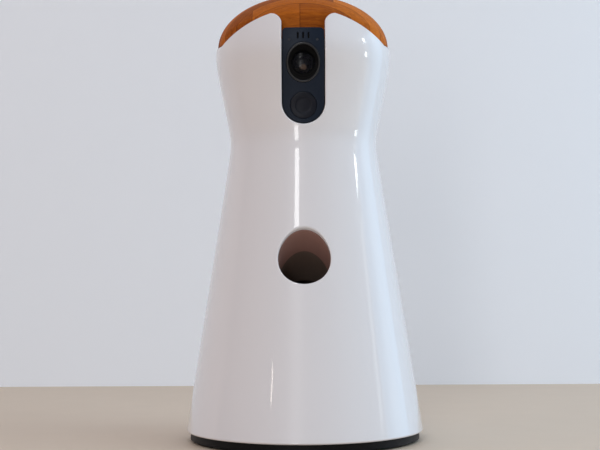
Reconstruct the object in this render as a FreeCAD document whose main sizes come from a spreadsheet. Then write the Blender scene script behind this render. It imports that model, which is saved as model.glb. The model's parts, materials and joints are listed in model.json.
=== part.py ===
import FreeCAD, Part
import math
import os
import re

# Treat tossing pet camera: an hourglass table-top housing with a camera in its brow,
# a wooden lid over a treat bin, and a catapult that throws a treat out of the front.
# Millimetres.  Origin: centre of the base on the table.  +Z up, the front faces -Y.

doc = FreeCAD.newDocument("treat_camera")

# ---------------------------------------------------------------------------
# Driving dimensions
# ---------------------------------------------------------------------------

DRIVING = {
    # outline of the housing
    "shell_bottom": 5.0,
    "crown_height": 215.0,
    "waist_height": 151.0,
    "waist_half_width": 37.5,
    "waist_round": 4.8,
    "cone_lean": 0.0275,
    "cone_flare": 0.1885,
    "crown_tuck": 0.272,
    "crown_start": 196.5,
    "crown_round": 7.0,
    "depth_extra": 15.0,
    "depth_fade_height": 185.0,
    "depth_fade_power": 1.3,
    "brow_extra": 2.2,
    "brow_height": 198.0,
    "brow_spread": 18.0,
    "wall": 2.4,
    # rim, notch and windows in the shell
    "rim_height": 199.0,
    "collar_arc": 64.0,
    "collar_arc_height": 150.0,
    "panel_half_width": 10.2,
    "panel_gap": 0.35,
    "panel_low_centre": 167.9,
    "panel_top": 203.7,
    "panel_inset": 0.6,
    "panel_thick": 2.2,
    "shoulder_round": 6.0,
    "shoulder_start": 206.0,
    # treat exit
    "exit_height": 93.0,
    "exit_slope": 38.0,
    "chute_bore": 12.6,
    "chute_wall": 1.8,
    "chute_length": 36.0,
    # lid
    "lid_gap": 0.35,
    "dome_radius": 43.6,
    "dome_rise": 27.1,
    "dome_base": 199.4,
    "lid_front_radius": 47.0,
    "dome_wall": 4.0,
    "dome_pocket_depth": 8.4,
    "dome_relief_radius": 25.0,
    "dome_relief_depth": 6.0,
    "lid_plate_thick": 2.2,
    "lid_skirt_wall": 2.0,
    "lid_screw_circle": 28.0,
    "lid_screw_radius": 1.4,
    "lid_screw_length": 9.0,
    "gasket_thick": 0.8,
    "gasket_gap": 0.25,
    "lug_count": 3.0,
    "lug_angle": 12.0,
    "lug_reach": 1.5,
    "lug_height": 2.4,
    "lock_angle": 25.0,
    # treat bin
    "neck_radius": 34.5,
    "neck_wall": 3.0,
    "bin_radius": 35.4,
    "bin_wall": 1.6,
    "bin_flat": 23.0,
    "bin_floor": 166.0,
    "bin_roof": 195.0,
    "roof_thick": 1.6,
    "flange_gap": 1.2,
    # dosing rotor
    "rotor_y": 6.0,
    "rotor_radius": 24.6,
    "rotor_thick": 10.6,
    "rotor_gap": 0.4,
    "rotor_hub": 9.0,
    "rotor_cone": 7.5,
    "pocket_radius": 7.6,
    "pocket_circle": 15.2,
    "pocket_count": 4.0,
    "deck_height": 144.0,
    "deck_thick": 2.6,
    "deck_radius": 34.4,
    "ring_wall": 1.5,
    "rotor_shaft_radius": 1.5,
    "running_gap": 0.05,
    "dose_motor_width": 12.0,
    "dose_motor_depth": 10.0,
    "dose_motor_length": 24.0,
    "dose_gearbox_length": 9.0,
    # drop tube
    "drop_bore": 8.2,
    "drop_wall": 1.2,
    "drop_end": 62.0,
    # catapult
    "arm_length": 26.0,
    "paddle_radius": 10.8,
    "paddle_thick": 2.0,
    "arm_width": 7.0,
    "arm_thick": 3.6,
    "hub_radius": 5.0,
    "arm_shaft_radius": 2.0,
    "sweep_gap": 1.2,
    "lever_length": 13.0,
    "lever_thick": 2.5,
    # side frames
    "frame_inner": 15.0,
    "frame_thick": 2.4,
    "frame_foot": 12.0,
    "frame_rear": 34.0,
    "frame_front": 58.0,
    "spacer_radius": 3.0,
    "frame_screw_radius": 1.4,
    # gear train
    "motor_y": 18.0,
    "motor_z": 64.0,
    "motor_radius": 10.0,
    "motor_length": 27.0,
    "motor_shaft_radius": 1.0,
    "gear_module": 1.0,
    "pinion_teeth": 12.0,
    "wheel_teeth": 36.0,
    "cam_teeth": 40.0,
    "tooth_play": 0.3,
    "first_mesh_angle": 233.0,
    "second_mesh_angle": 206.0,
    "gear_width": 3.5,
    "gear_gap": 0.4,
    "axle_radius": 1.5,
    "trip_circle": 11.0,
    "trip_radius": 1.5,
    "gear_plate_thick": 2.0,
    # base
    "base_inset": 2.0,
    "foot_height": 1.0,
    "foot_inset": 4.0,
    "foot_band": 6.0,
    "base_floor": 2.2,
    "tray_rise": 3.0,
    "tray_wall": 2.0,
    "post_x": 37.0,
    "post_y": 46.5,
    "post_radius": 4.0,
    "post_height": 18.0,
    "base_screw_radius": 1.5,
    "base_screw_head": 3.0,
    "base_screw_length": 12.0,
    # camera
    "lens_height": 186.7,
    "bezel_half_width": 8.15,
    "bezel_half_height": 9.6,
    "bezel_depth": 4.4,
    "bezel_proud": 0.35,
    "glass_radius": 6.3,
    "glass_thick": 1.6,
    "glass_curve": 16.0,
    "glass_set_back": 1.4,
    "fit_gap": 0.1,
    "barrel_radius": 6.0,
    "objective_radius": 3.2,
    "holder_width": 15.0,
    "bracket_set_back": 5.8,
    "holder_depth": 6.0,
    "sensor_size": 7.6,
    "sensor_thick": 1.0,
    "board_thick": 1.6,
    "sensor_board_width": 22.0,
    "sensor_board_height": 22.4,
    "bracket_half_width": 12.0,
    "bracket_thick": 2.0,
    "window_height": 166.2,
    "window_radius": 6.5,
    "window_thick": 1.6,
    "led_circle": 3.2,
    "led_radius": 1.3,
    "led_length": 2.4,
    "slot_width": 1.0,
    "slot_height": 3.2,
    "slot_pitch": 2.6,
    "slot_low": 198.0,
    "pinhole_radius": 0.6,
    "pinhole_x": 6.8,
    "pinhole_z": 197.6,
    "microphone_width": 7.0,
    "microphone_depth": 1.2,
    "microphone_height": 1.8,
    # electronics
    "main_board_y": 38.4,
    "main_board_width": 50.0,
    "main_board_height": 56.0,
    "main_board_low": 16.0,
    "speaker_z": 98.0,
    "speaker_radius": 14.5,
    "speaker_depth": 7.0,
    "speaker_plate": 1.6,
    "magnet_radius": 7.5,
    "magnet_depth": 5.0,
    "grille_hole": 0.8,
    "grille_pitch": 3.0,
    "port_z": 14.0,
    "port_width": 7.8,
    "port_height": 2.8,
    "port_depth": 6.0,
    "port_cutout_width": 12.0,
    "port_cutout_height": 8.0,
    "power_board_z": 11.0,
    "power_board_length": 16.0,
    "power_board_width": 18.0,
    # setup button under the base
    "button_x": 30.0,
    "button_y": 30.0,
    "button_radius": 3.0,
    "button_gap": 0.3,
    "button_travel": 1.2,
    "button_flange": 4.2,
    "button_recess": 0.6,
    "button_board_z": 9.0,
    "button_spring_radius": 2.2,
    "button_spring_wire": 0.35,
    "button_spring_turns": 4.0,
}


def half_width_at(height):
    """Half-width of the housing at a height: two cones blended at the waist and the crown."""
    up = f"({height} - waist_height)"
    over = f"({height} - crown_start)"
    return (f"(waist_half_width + cone_lean * {up}"
            f" + cone_flare * (sqrt({up}^2 + waist_round^2) - waist_round)"
            f" - crown_tuck * (sqrt({over}^2 + crown_round^2) + {over}))")


def half_depth_at(height):
    """Half-depth of the housing at a height: deeper than wide below, round above."""
    fade = f"max(0; 1 - {height} / depth_fade_height)"
    return f"({half_width_at(height)} + depth_extra * {fade}^depth_fade_power)"


def brow_at(height):
    """How far the front stands out beyond the rear, so that its collar clears the lid."""
    return f"(brow_extra * exp(0 - (({height} - brow_height) / brow_spread)^2))"


def front_at(height):
    return f"(-{half_depth_at(height)} - {brow_at(height)})"


# Sizes worked out from the driving ones
DERIVED = {
    "notch_half_width": "panel_half_width + panel_gap",
    "exit_y": front_at("exit_height"),
    "chute_outer": "chute_bore + chute_wall",
    "chute_end_y": "exit_y + chute_length * cos(exit_slope)",
    "chute_end_z": "exit_height - chute_length * sin(exit_slope)",
    "pivot_y": "chute_end_y - arm_length * sin(exit_slope)",
    "pivot_z": "chute_end_z - arm_length * cos(exit_slope)",
    "sweep_radius": "arm_length + paddle_radius + sweep_gap",
    "collar_top": "collar_arc_height + collar_arc",
    "lid_front_y": f"lid_front_radius + {front_at('collar_top')} + wall + lid_gap",
    "pocket_ceiling": "dome_base + dome_pocket_depth",
    "dome_pocket_radius": "dome_radius * sqrt(1 - (dome_pocket_depth / dome_rise)^2) - dome_wall",
    "lid_plate_low": "pocket_ceiling - lid_plate_thick",
    "gasket_top": "lid_plate_low - gasket_gap",
    "gasket_low": "gasket_top - gasket_thick",
    "neck_top": "gasket_low - gasket_gap",
    "neck_bore": "neck_radius - neck_wall",
    "skirt_bore": "neck_radius + lid_gap",
    "skirt_low": "roof_top + 1",
    "roof_top": "bin_roof + roof_thick",
    "lug_low": "skirt_low + 0.6",
    "lug_inner": "skirt_bore - lug_reach",
    "groove_depth_radius": "lug_inner - lid_gap",
    "flange_radius": f"{half_width_at('bin_roof')} - wall - flange_gap",
    "deck_top": "deck_height + deck_thick",
    "rotor_low": "deck_top + rotor_gap",
    "rotor_top": "rotor_low + rotor_thick",
    "ring_top": "rotor_top + rotor_gap",
    "drop_y": "rotor_y - pocket_circle",
    "drop_outer": "drop_bore + drop_wall",
    "wheel_radius": "gear_module * wheel_teeth / 2",
    "pinion_radius": "gear_module * pinion_teeth / 2",
    "cam_radius": "gear_module * cam_teeth / 2",
    "idler_y": "motor_y + (pinion_radius + wheel_radius) * cos(first_mesh_angle)",
    "idler_z": "motor_z + (pinion_radius + wheel_radius) * sin(first_mesh_angle)",
    "cam_y": "idler_y + (pinion_radius + cam_radius) * cos(second_mesh_angle)",
    "cam_z": "idler_z + (pinion_radius + cam_radius) * sin(second_mesh_angle)",
    "frame_outer": "frame_inner + frame_thick",
    "first_layer": "frame_outer + gear_gap",
    "second_layer": "first_layer + gear_width + gear_gap",
    "lever_layer": "second_layer + gear_width + gear_gap + 0.3",
    "gear_plate_x": "lever_layer + lever_thick + gear_gap",
    "gear_plate_outer": "gear_plate_x + gear_plate_thick",
    "base_half_width": f"{half_width_at('shell_bottom')} - base_inset",
    "base_half_depth": f"{half_depth_at('shell_bottom')} - base_inset",
    "floor_top": "foot_height + base_floor",
    "tray_top": "shell_bottom + tray_rise",
    "tray_half_width": f"{half_width_at('tray_top')} - wall - lid_gap",
    "tray_half_depth": f"{half_depth_at('tray_top')} - wall - lid_gap",
    "lens_front": f"{front_at('lens_height')} + panel_inset",
    "panel_back": "lens_front + panel_thick",
    "barrel_front": "lens_front + glass_set_back + glass_thick + 0.2",
    "window_front": f"{front_at('window_height')} + panel_inset + 0.2",
    "bracket_front": "window_front + bracket_set_back",
    "bracket_back": "bracket_front + bracket_thick",
    "holder_front": "bracket_back - holder_depth",
    "barrel_length": "holder_front + 4 - barrel_front",
    "slot_front": f"{front_at('slot_low')} + panel_inset",
    "magnet_front": "frame_rear - magnet_depth",
    "port_face": f"{half_depth_at('port_z')} - wall - 0.4",
    "board_back": "main_board_y + board_thick",
    "button_low": "foot_height + button_recess",
    "flange_low": "floor_top + button_gap",
    "flange_top": "flange_low + 1",
    "spring_low": "flange_top + 0.1",
    "spring_high": "button_board_z - 0.1",
}

sizes = doc.addObject("Spreadsheet::Sheet", "Sizes")
for row, (name, value) in enumerate(DRIVING.items(), start=1):
    sizes.set(f"A{row}", name)
    sizes.set(f"B{row}", str(value))
    sizes.setAlias(f"B{row}", name)
doc.recompute()


def bound(expression):
    """Point the plain names in an expression at the spreadsheet and the derived sizes."""
    def owner(match):
        word = match.group(0)
        if word in DRIVING:
            return f"Sizes.{word}"
        if word in DERIVED:
            return f"Fit.{word}"
        return word
    return re.sub(r"[a-z_]+[a-z_0-9]*", owner, str(expression))


fit = doc.addObject("App::VarSet", "Fit")
for name in DERIVED:
    fit.addProperty("App::PropertyFloat", name)
for name, expression in DERIVED.items():
    fit.setExpression(name, bound(expression))
doc.recompute()


def value(name):
    """The number behind a driving or derived name, for shapes made point by point."""
    return float(sizes.get(name)) if name in DRIVING else getattr(fit, name)


# ---------------------------------------------------------------------------
# Building blocks
# ---------------------------------------------------------------------------

X_AXIS = FreeCAD.Vector(1, 0, 0)
Y_AXIS = FreeCAD.Vector(0, 1, 0)
Z_AXIS = FreeCAD.Vector(0, 0, 1)
TURNS = {
    "z": FreeCAD.Rotation(),
    "x": FreeCAD.Rotation(Y_AXIS, 90),
    "y": FreeCAD.Rotation(X_AXIS, -90),
    "upright": FreeCAD.Rotation(Z_AXIS, X_AXIS, Y_AXIS, "XZY"),
}

parts = []


def keep(obj, label):
    """Name a finished sub-part; its label is the name of its file."""
    obj.Label = label
    parts.append(obj)
    return obj


def move(obj, at, along="z"):
    """Stand an object at a point, with its own Z along an axis of the part."""
    obj.Placement = FreeCAD.Placement(FreeCAD.Vector(), TURNS[along])
    for letter, expression in zip("xyz", at):
        if str(expression) != "0":
            obj.setExpression(f"Placement.Base.{letter}", bound(expression))
    return obj


def tilt(obj, at, axis, angle):
    """Stand an object at a point, turned about an axis by an angle that can change."""
    obj.Placement = FreeCAD.Placement(FreeCAD.Vector(), FreeCAD.Rotation(axis, 1))
    for letter, expression in zip("xyz", at):
        if str(expression) != "0":
            obj.setExpression(f"Placement.Base.{letter}", bound(expression))
    obj.setExpression("Placement.Rotation.Angle", bound(angle))
    return obj


def primitive(kind, at, along="z", **measures):
    obj = doc.addObject(f"Part::{kind}", kind.lower())
    for measure, expression in measures.items():
        obj.setExpression(measure, bound(expression))
    return move(obj, at, along)


def cylinder(at, radius, height, along="z"):
    return primitive("Cylinder", at, along, Radius=radius, Height=height)


def cone(at, low_radius, high_radius, height, along="z"):
    return primitive("Cone", at, along, Radius1=low_radius, Radius2=high_radius, Height=height)


def block(low, size):
    return primitive("Box", low, "z", Length=size[0], Width=size[1], Height=size[2])


def centred_block(centre_x, low_y, low_z, width, depth, height):
    """A block whose width is centred on an X, and which starts at a Y and a Z."""
    return block((f"{centre_x} - ({width}) / 2", low_y, low_z), (width, depth, height))


def fuse(*solids):
    obj = doc.addObject("Part::MultiFuse", "fuse")
    obj.Shapes = list(solids)
    return obj


def cut(base, *tools):
    """Take tools away from a base, one after another."""
    for tool in tools:
        obj = doc.addObject("Part::Cut", "cut")
        obj.Base = base
        obj.Tool = tool
        obj.Refine = False
        base = obj
    return base


def common(*solids):
    obj = doc.addObject("Part::MultiCommon", "common")
    obj.Shapes = list(solids)
    obj.Refine = False
    return obj


def group(*solids):
    """Separate solids that share one sub-part, such as a set of screws."""
    obj = doc.addObject("Part::Compound", "group")
    obj.Links = list(solids)
    return obj


def tube(at, outer, bore, height, along="z"):
    return cut(cylinder(at, outer, height, along), cylinder(at, bore, height, along))


def sector(at, outer, bore, height, start, angle):
    """Part of a flat ring about a vertical axis, from a start angle through an angle."""
    ring = []
    for radius in (outer, bore):
        slice_ = primitive("Cylinder", at, "z", Radius=radius, Height=height, Angle=angle)
        slice_.Placement = FreeCAD.Placement(FreeCAD.Vector(), FreeCAD.Rotation(Z_AXIS, 1))
        slice_.setExpression("Placement.Rotation.Angle", bound(start))
        ring.append(slice_)
    return cut(*ring)


def oval(at, half_width, half_height, length):
    """An upright oval bar along +Y."""
    ends = []
    for along_y in ("0", length):
        ring = doc.addObject("Part::Ellipse", "oval_end")
        ring.setExpression("MajorRadius", bound(half_height))
        ring.setExpression("MinorRadius", bound(half_width))
        move(ring, (at[0], f"{at[1]} + {along_y}", at[2]), "upright")
        ends.append(ring)
    bar = doc.addObject("Part::Loft", "oval_bar")
    bar.Sections = ends
    bar.Solid = True
    return bar


def flat_oval(low, half_width, half_depth, height):
    """A flat oval disc on a horizontal plane, centred on the axis of the part."""
    ends = []
    for level in (low, f"{low} + {height}"):
        ring = doc.addObject("Part::Ellipse", "oval_edge")
        ring.setExpression("MajorRadius", bound(half_depth))
        ring.setExpression("MinorRadius", bound(half_width))
        ring.Placement = FreeCAD.Placement(FreeCAD.Vector(), FreeCAD.Rotation(Z_AXIS, 90))
        ring.setExpression("Placement.Base.z", bound(level))
        ends.append(ring)
    disc = doc.addObject("Part::Loft", "oval_disc")
    disc.Sections = ends
    disc.Solid = True
    return disc


def housing_form(inset, low, high, section_count):
    """The housing's outer form, drawn inwards by an inset, between two heights."""
    rings = []
    for index in range(section_count + 1):
        height = f"({low} + ({high} - ({low})) * {index / section_count})"
        ring = doc.addObject("Part::Ellipse", "ring")
        brow = brow_at(height)
        ring.setExpression("MinorRadius", bound(f"{half_width_at(height)} - ({inset})"))
        ring.setExpression("MajorRadius", bound(
            f"{half_depth_at(height)} + {brow} / 2 - ({inset})"))
        ring.Placement = FreeCAD.Placement(FreeCAD.Vector(), FreeCAD.Rotation(Z_AXIS, 90))
        ring.setExpression("Placement.Base.y", bound(f"-{brow} / 2"))
        ring.setExpression("Placement.Base.z", bound(height))
        rings.append(ring)
    form = doc.addObject("Part::Loft", "housing_form")
    form.Sections = rings
    form.Solid = True
    return form


def origin_plane(body, role):
    return next(item for item in body.Origin.OriginFeatures if item.Role == role)


def outline_sketch(body, role, outline, circles=(), level="0"):
    """A sketch of one closed outline of straight lines, with round holes in it."""
    import Sketcher
    sketch = body.newObject("Sketcher::SketchObject", "outline")
    sketch.AttachmentSupport = [(origin_plane(body, role), "")]
    sketch.MapMode = "FlatFace"
    if level != "0":
        sketch.setExpression("AttachmentOffset.Base.z", bound(level))
    count = len(outline)
    start = [FreeCAD.Vector(100 * math.cos(math.tau * k / count),
                            100 * math.sin(math.tau * k / count), 0) for k in range(count)]
    for index in range(count):
        sketch.addGeometry(Part.LineSegment(start[index], start[(index + 1) % count]))
    for index in range(count):
        sketch.addConstraint(Sketcher.Constraint("Coincident", index, 2, (index + 1) % count, 1))

    def pin(geometry, point, across, up):
        for kind, expression, axis in (("DistanceX", across, -2), ("DistanceY", up, -1)):
            if str(expression) == "0":
                sketch.addConstraint(Sketcher.Constraint("PointOnObject", geometry, point, axis))
                continue
            number = sketch.addConstraint(
                Sketcher.Constraint(kind, -1, 1, geometry, point, 1.0))
            sketch.setExpression(f"Constraints[{number}]", bound(expression))

    for index, (across, up) in enumerate(outline):
        pin(index, 1, across, up)
    for index, (across, up, radius) in enumerate(circles):
        geometry = count + index
        sketch.addGeometry(Part.Circle(FreeCAD.Vector(5, 5, 0), Z_AXIS, 2))
        pin(geometry, 3, across, up)
        number = sketch.addConstraint(Sketcher.Constraint("Radius", geometry, 2.0))
        sketch.setExpression(f"Constraints[{number}]", bound(radius))
    return sketch


def plate(role, outline, thickness, circles=(), level="0"):
    """A flat plate: an outline with round holes, padded from a level along its plane's normal."""
    body = doc.addObject("PartDesign::Body", "plate")
    sketch = outline_sketch(body, role, outline, circles, level)
    pad = body.newObject("PartDesign::Pad", "pad")
    pad.Profile = sketch
    pad.setExpression("Length", bound(thickness))
    sketch.Visibility = False
    return body


def turned(outline):
    """A turned piece: an outline of radius and height, revolved about its own vertical axis."""
    body = doc.addObject("PartDesign::Body", "turned")
    sketch = outline_sketch(body, "XZ_Plane", outline)
    revolution = body.newObject("PartDesign::Revolution", "revolution")
    revolution.Profile = sketch
    revolution.ReferenceAxis = (sketch, ["V_Axis"])
    revolution.Angle = 360
    return body


def screw(at, radius, length, head_radius, head_height, along="z"):
    """A plain screw: its head starts at the point, and its thread points along the axis."""
    body = turned([("0", "0"), (head_radius, "0"), (head_radius, head_height),
                   (radius, head_height), (radius, length), ("0", length)])
    return move(body, at, along)


def gear(teeth, width, bore, face_radius, at, phase):
    """A spur gear about an axis along X, with involute teeth at a starting angle."""
    module = value("gear_module")
    pitch = module * teeth / 2
    tip = pitch + 0.85 * module
    root = pitch - 1.15 * module
    pressure = math.radians(20)
    base = pitch * math.cos(pressure)
    half_tooth = math.pi / (2 * teeth) - value("tooth_play") / (4 * pitch)
    roll = math.tan(pressure) - pressure

    def flank(radius):
        if radius <= base:
            return half_tooth + roll
        turn = math.acos(base / radius)
        return half_tooth + roll - (math.tan(turn) - turn)

    radii = [root, max(base, root + 0.1), pitch, tip]
    points = []
    for tooth in range(int(teeth)):
        middle = phase + math.tau * tooth / teeth
        for radius in radii:
            points.append((radius, middle - flank(radius)))
        for radius in reversed(radii):
            points.append((radius, middle + flank(radius)))
    x, y, z = at
    corners = [FreeCAD.Vector(x, y + r * math.cos(a), z + r * math.sin(a)) for r, a in points]
    face = Part.Face(Part.makePolygon(corners + corners[:1]))
    blank = face.extrude(FreeCAD.Vector(width, 0, 0))
    if face_radius:
        hub = Part.makeCylinder(face_radius, width, FreeCAD.Vector(x, y, z), X_AXIS)
        blank = blank.fuse(hub).removeSplitter()
    hole = Part.makeCylinder(bore, width + 2, FreeCAD.Vector(x - 1, y, z), X_AXIS)
    return blank.cut(hole)


def shaped(shape, label):
    """A sub-part whose shape is made point by point from the sizes in the sheet."""
    obj = doc.addObject("Part::Feature", label)
    obj.Shape = shape
    return keep(obj, label)


def coil(radius, wire, height, turns):
    """A compression spring standing on its own origin."""
    pitch = height / turns
    helix = Part.makeHelix(pitch, height - 2 * wire, radius)
    helix.translate(FreeCAD.Vector(0, 0, wire))
    section = Part.Wire(Part.makeCircle(wire, FreeCAD.Vector(radius, 0, wire), Y_AXIS))
    return Part.Wire(helix).makePipeShell([section], True, True)


# ---------------------------------------------------------------------------
# Outer shell
# ---------------------------------------------------------------------------

FAR = 120       # reach of a cutting tool that only has to pass right through


def stadium(half_width, low_centre, top, flare=False):
    """An upright slot cutter in the front: round below, open above, shoulders rounded off."""
    front = f"-{FAR}"
    straight = block((f"-({half_width})", front, low_centre),
                     (f"2 * ({half_width})", FAR, f"{top} - ({low_centre})"))
    bottom = cylinder(("0", front, low_centre), half_width, FAR, "y")
    pieces = [straight, bottom]
    if flare:
        for side in (-1, 1):
            centre = f"{side} * ({half_width} + shoulder_round)"
            low_x = centre if side < 0 else half_width
            corner = block((low_x, front, "shoulder_start"), ("shoulder_round", FAR, 30))
            round_ = cylinder((centre, front, "shoulder_start"), "shoulder_round", FAR, "y")
            pieces.append(cut(corner, round_))
    return fuse(*pieces)


def along_chute(radius, start, length):
    """A cylinder on the sloping axis of the treat exit, from a distance inside the mouth."""
    at = ("0", f"exit_y + ({start}) * cos(exit_slope)",
          f"exit_height - ({start}) * sin(exit_slope)")
    bar = primitive("Cylinder", at, "z", Radius=radius, Height=length)
    return tilt(bar, at, X_AXIS, "-90 - exit_slope")


def lid_clearance():
    """The space that the dome turns and lifts in, as a stack of short cones."""
    outline = [("0", "rim_height"), ("dome_radius + lid_gap", "rim_height")]
    for step in (0.12, 0.24, 0.36, 0.48, 0.6):
        outline.append((f"(dome_radius + lid_gap) * sqrt(1 - {step}^2)",
                        f"dome_base + {step} * (dome_rise + lid_gap)"))
    outline.append(("0", "dome_base + 0.6 * (dome_rise + lid_gap)"))
    return turned(outline)


def post_places():
    return [(f"{side} * post_x", f"{end} * post_y") for side in (-1, 1) for end in (-1, 1)]


def outer_shell():
    outside = housing_form("0", "shell_bottom", "crown_height", 20)
    inside = housing_form("wall", "shell_bottom - 2", "rim_height", 20)
    below_rim = fuse(
        block((-FAR, -FAR, 0), (2 * FAR, 2 * FAR, "rim_height")),
        cylinder(("0", -FAR, "collar_arc_height"), "collar_arc", FAR, "y"))
    grille = []
    for ring in range(4):
        for step in range(max(1, 6 * ring)):
            angle = math.tau * step / max(1, 6 * ring)
            x = f"grille_pitch * {ring * math.cos(angle):.6f}"
            z = f"speaker_z + grille_pitch * {ring * math.sin(angle):.6f}"
            grille.append(cylinder((x, "frame_rear", z), "grille_hole", FAR, "y"))
    port = centred_block("0", "0", "port_z - port_cutout_height / 2",
                         "port_cutout_width", FAR, "port_cutout_height")
    posts = [tube((x, y, "tray_top + 0.3"), "post_radius", "base_screw_radius + running_gap",
                  "post_height") for x, y in post_places()]
    cavity = cut(inside, *posts)
    # the collar leaves a straight way up for the dome
    lifting = common(cylinder(("0", "0", "rim_height"), "dome_radius + lid_gap", "dome_rise"),
                     cylinder(("0", "lid_front_y", "rim_height"), "lid_front_radius + lid_gap",
                              "dome_rise"))
    keep(cut(common(outside, below_rim), lid_clearance(), lifting,
             stadium("notch_half_width", "panel_low_centre", FAR + 110, True),
             along_chute("chute_bore", -20, 40), cavity, port, group(*grille)), "outer_shell")


# ---------------------------------------------------------------------------
# Base
# ---------------------------------------------------------------------------

def base_plate():
    skirt = flat_oval("foot_height", "base_half_width", "base_half_depth",
                      "shell_bottom - foot_height")
    tray = flat_oval("shell_bottom", "tray_half_width", "tray_half_depth", "tray_rise")
    hollow = flat_oval("floor_top", "tray_half_width - tray_wall", "tray_half_depth - tray_wall",
                       "tray_top - floor_top")
    bosses = []
    holes = []
    for x, y in post_places():
        bosses.append(cylinder((x, y, "foot_height"), "base_screw_head + 1.4",
                               "tray_top - foot_height"))
        holes.append(cylinder((x, y, "0"), "base_screw_radius + 0.1", "tray_top + 1"))
        holes.append(cylinder((x, y, "0"), "base_screw_head + 0.2", "foot_height + 2.2"))
    for side in (-1, 1):
        for y in (-50, 22):
            bosses.append(centred_block(f"{side} * (frame_inner + frame_thick / 2)", y,
                                        "foot_height", "frame_thick + 4", 10,
                                        "frame_foot - foot_height"))
        bosses.append(cylinder((f"{side} * (power_board_width / 2 - 4)", "port_face - 10",
                                "foot_height"), "2.5", "power_board_z - foot_height"))
        bosses.append(cylinder((f"button_x + {side} * 8", "button_y", "foot_height"), "2",
                               "button_board_z - foot_height"))
    holes.append(cylinder(("button_x", "button_y", "0"), "button_radius + button_gap",
                          "floor_top + 1"))
    keep(cut(fuse(cut(fuse(skirt, tray), hollow), *bosses), *holes), "base_plate")


def foot_ring():
    outer = flat_oval("0", "base_half_width - foot_inset", "base_half_depth - foot_inset",
                      "foot_height")
    inner = flat_oval("0", "base_half_width - foot_inset - foot_band",
                      "base_half_depth - foot_inset - foot_band", "foot_height")
    keep(cut(outer, inner), "foot_ring")


def base_screws():
    screws = [screw((x, y, "foot_height + 0.3"), "base_screw_radius", "base_screw_length + 4",
                    "base_screw_head", "1.8") for x, y in post_places()]
    keep(group(*screws), "base_screws")


# ---------------------------------------------------------------------------
# Lid
# ---------------------------------------------------------------------------

def wood_dome():
    dome = primitive("Ellipsoid", ("0", "0", "dome_base"), "z", Radius1="dome_rise",
                     Radius2="dome_radius", Radius3="dome_radius")
    dome.Angle1 = 0
    dome.Angle2 = 90
    pocket = cylinder(("0", "0", "dome_base - 1"), "dome_pocket_radius", "dome_pocket_depth + 1")
    relief = cylinder(("0", "0", "pocket_ceiling - 1"), "dome_relief_radius",
                      "dome_relief_depth + 1")
    # the front of the dome is trimmed where it stands behind the collar, so that it lifts past it
    lifting = cylinder(("0", "lid_front_y", "dome_base - 1"), "lid_front_radius", "dome_rise + 2")
    keep(cut(common(dome, lifting), pocket, relief, *lid_screw_holes()), "wood_dome")


def lid_screw_places():
    return [(f"lid_screw_circle * {math.cos(math.radians(angle)):.6f}",
             f"lid_screw_circle * {math.sin(math.radians(angle)):.6f}")
            for angle in (30, 150, 270)]


def lid_screw_holes():
    return [cylinder((x, y, "lid_plate_low - 1"), "lid_screw_radius + running_gap",
                     "lid_screw_length + 1.5") for x, y in lid_screw_places()]


def lid_plate():
    disc = cylinder(("0", "0", "lid_plate_low"), "dome_pocket_radius - lid_gap",
                    "lid_plate_thick")
    skirt = tube(("0", "0", "skirt_low"), "skirt_bore + lid_skirt_wall", "skirt_bore",
                 "lid_plate_low - skirt_low")
    count = int(value("lug_count"))
    lugs = [sector(("0", "0", "lug_low"), "skirt_bore + 0.5", "lug_inner", "lug_height",
                   f"{360 / count * index} - lug_angle / 2", "lug_angle")
            for index in range(count)]
    keep(cut(fuse(disc, skirt, *lugs), *lid_screw_holes()), "lid_plate")


def lid_gasket():
    keep(tube(("0", "0", "gasket_low"), "neck_radius", "neck_bore", "gasket_thick"),
         "lid_gasket")


def lid_screws():
    screws = [screw((x, y, "lid_plate_low - 1.4"), "lid_screw_radius", "lid_screw_length",
                    "2.6", "1.4") for x, y in lid_screw_places()]
    keep(group(*screws), "lid_screws")


# ---------------------------------------------------------------------------
# Treat bin
# ---------------------------------------------------------------------------

def round_with_flat(radius, flat, low, height):
    """A round bar with a flat across its front."""
    keep_box = block((-FAR, f"-({flat})", low), (2 * FAR, 2 * FAR, height))
    return common(cylinder(("0", "0", low), radius, height), keep_box)


def hopper_bin():
    wall = cut(round_with_flat("bin_radius", "bin_flat", "bin_floor", "bin_roof - bin_floor"),
               round_with_flat("bin_radius - bin_wall", "bin_flat - bin_wall", "bin_floor",
                               "bin_roof - bin_floor"))
    roof = cut(cylinder(("0", "0", "bin_roof"), "flange_radius", "roof_thick"),
               round_with_flat("neck_bore", "bin_flat - bin_wall", "bin_roof", "roof_thick"))
    neck = tube(("0", "0", "roof_top"), "neck_radius", "neck_bore", "neck_top - roof_top")
    count = int(value("lug_count"))
    grooves = []
    for index in range(count):
        start = f"{360 / count * index} - lug_angle / 2 - 1"
        grooves.append(sector(("0", "0", "lug_low - 0.4"), "neck_radius + 1",
                              "groove_depth_radius", "neck_top - lug_low + 1",
                              start, "lug_angle + 2"))
        grooves.append(sector(("0", "0", "lug_low - 0.4"), "neck_radius + 1",
                              "groove_depth_radius", "lug_height + 0.8",
                              start, "lug_angle + lock_angle + 2"))
    keep(cut(fuse(wall, roof, neck), *grooves), "hopper_bin")


def hopper_funnel():
    ring = round_with_flat("bin_radius", "bin_flat", "ring_top", "bin_floor - ring_top")
    throat = cone(("0", "rotor_y", "ring_top - 0.5"), "rotor_radius - 1.6",
                  "rotor_radius + 4.5", "bin_floor - ring_top + 1")
    keep(cut(ring, throat), "hopper_funnel")


# ---------------------------------------------------------------------------
# Dosing rotor
# ---------------------------------------------------------------------------

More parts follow.
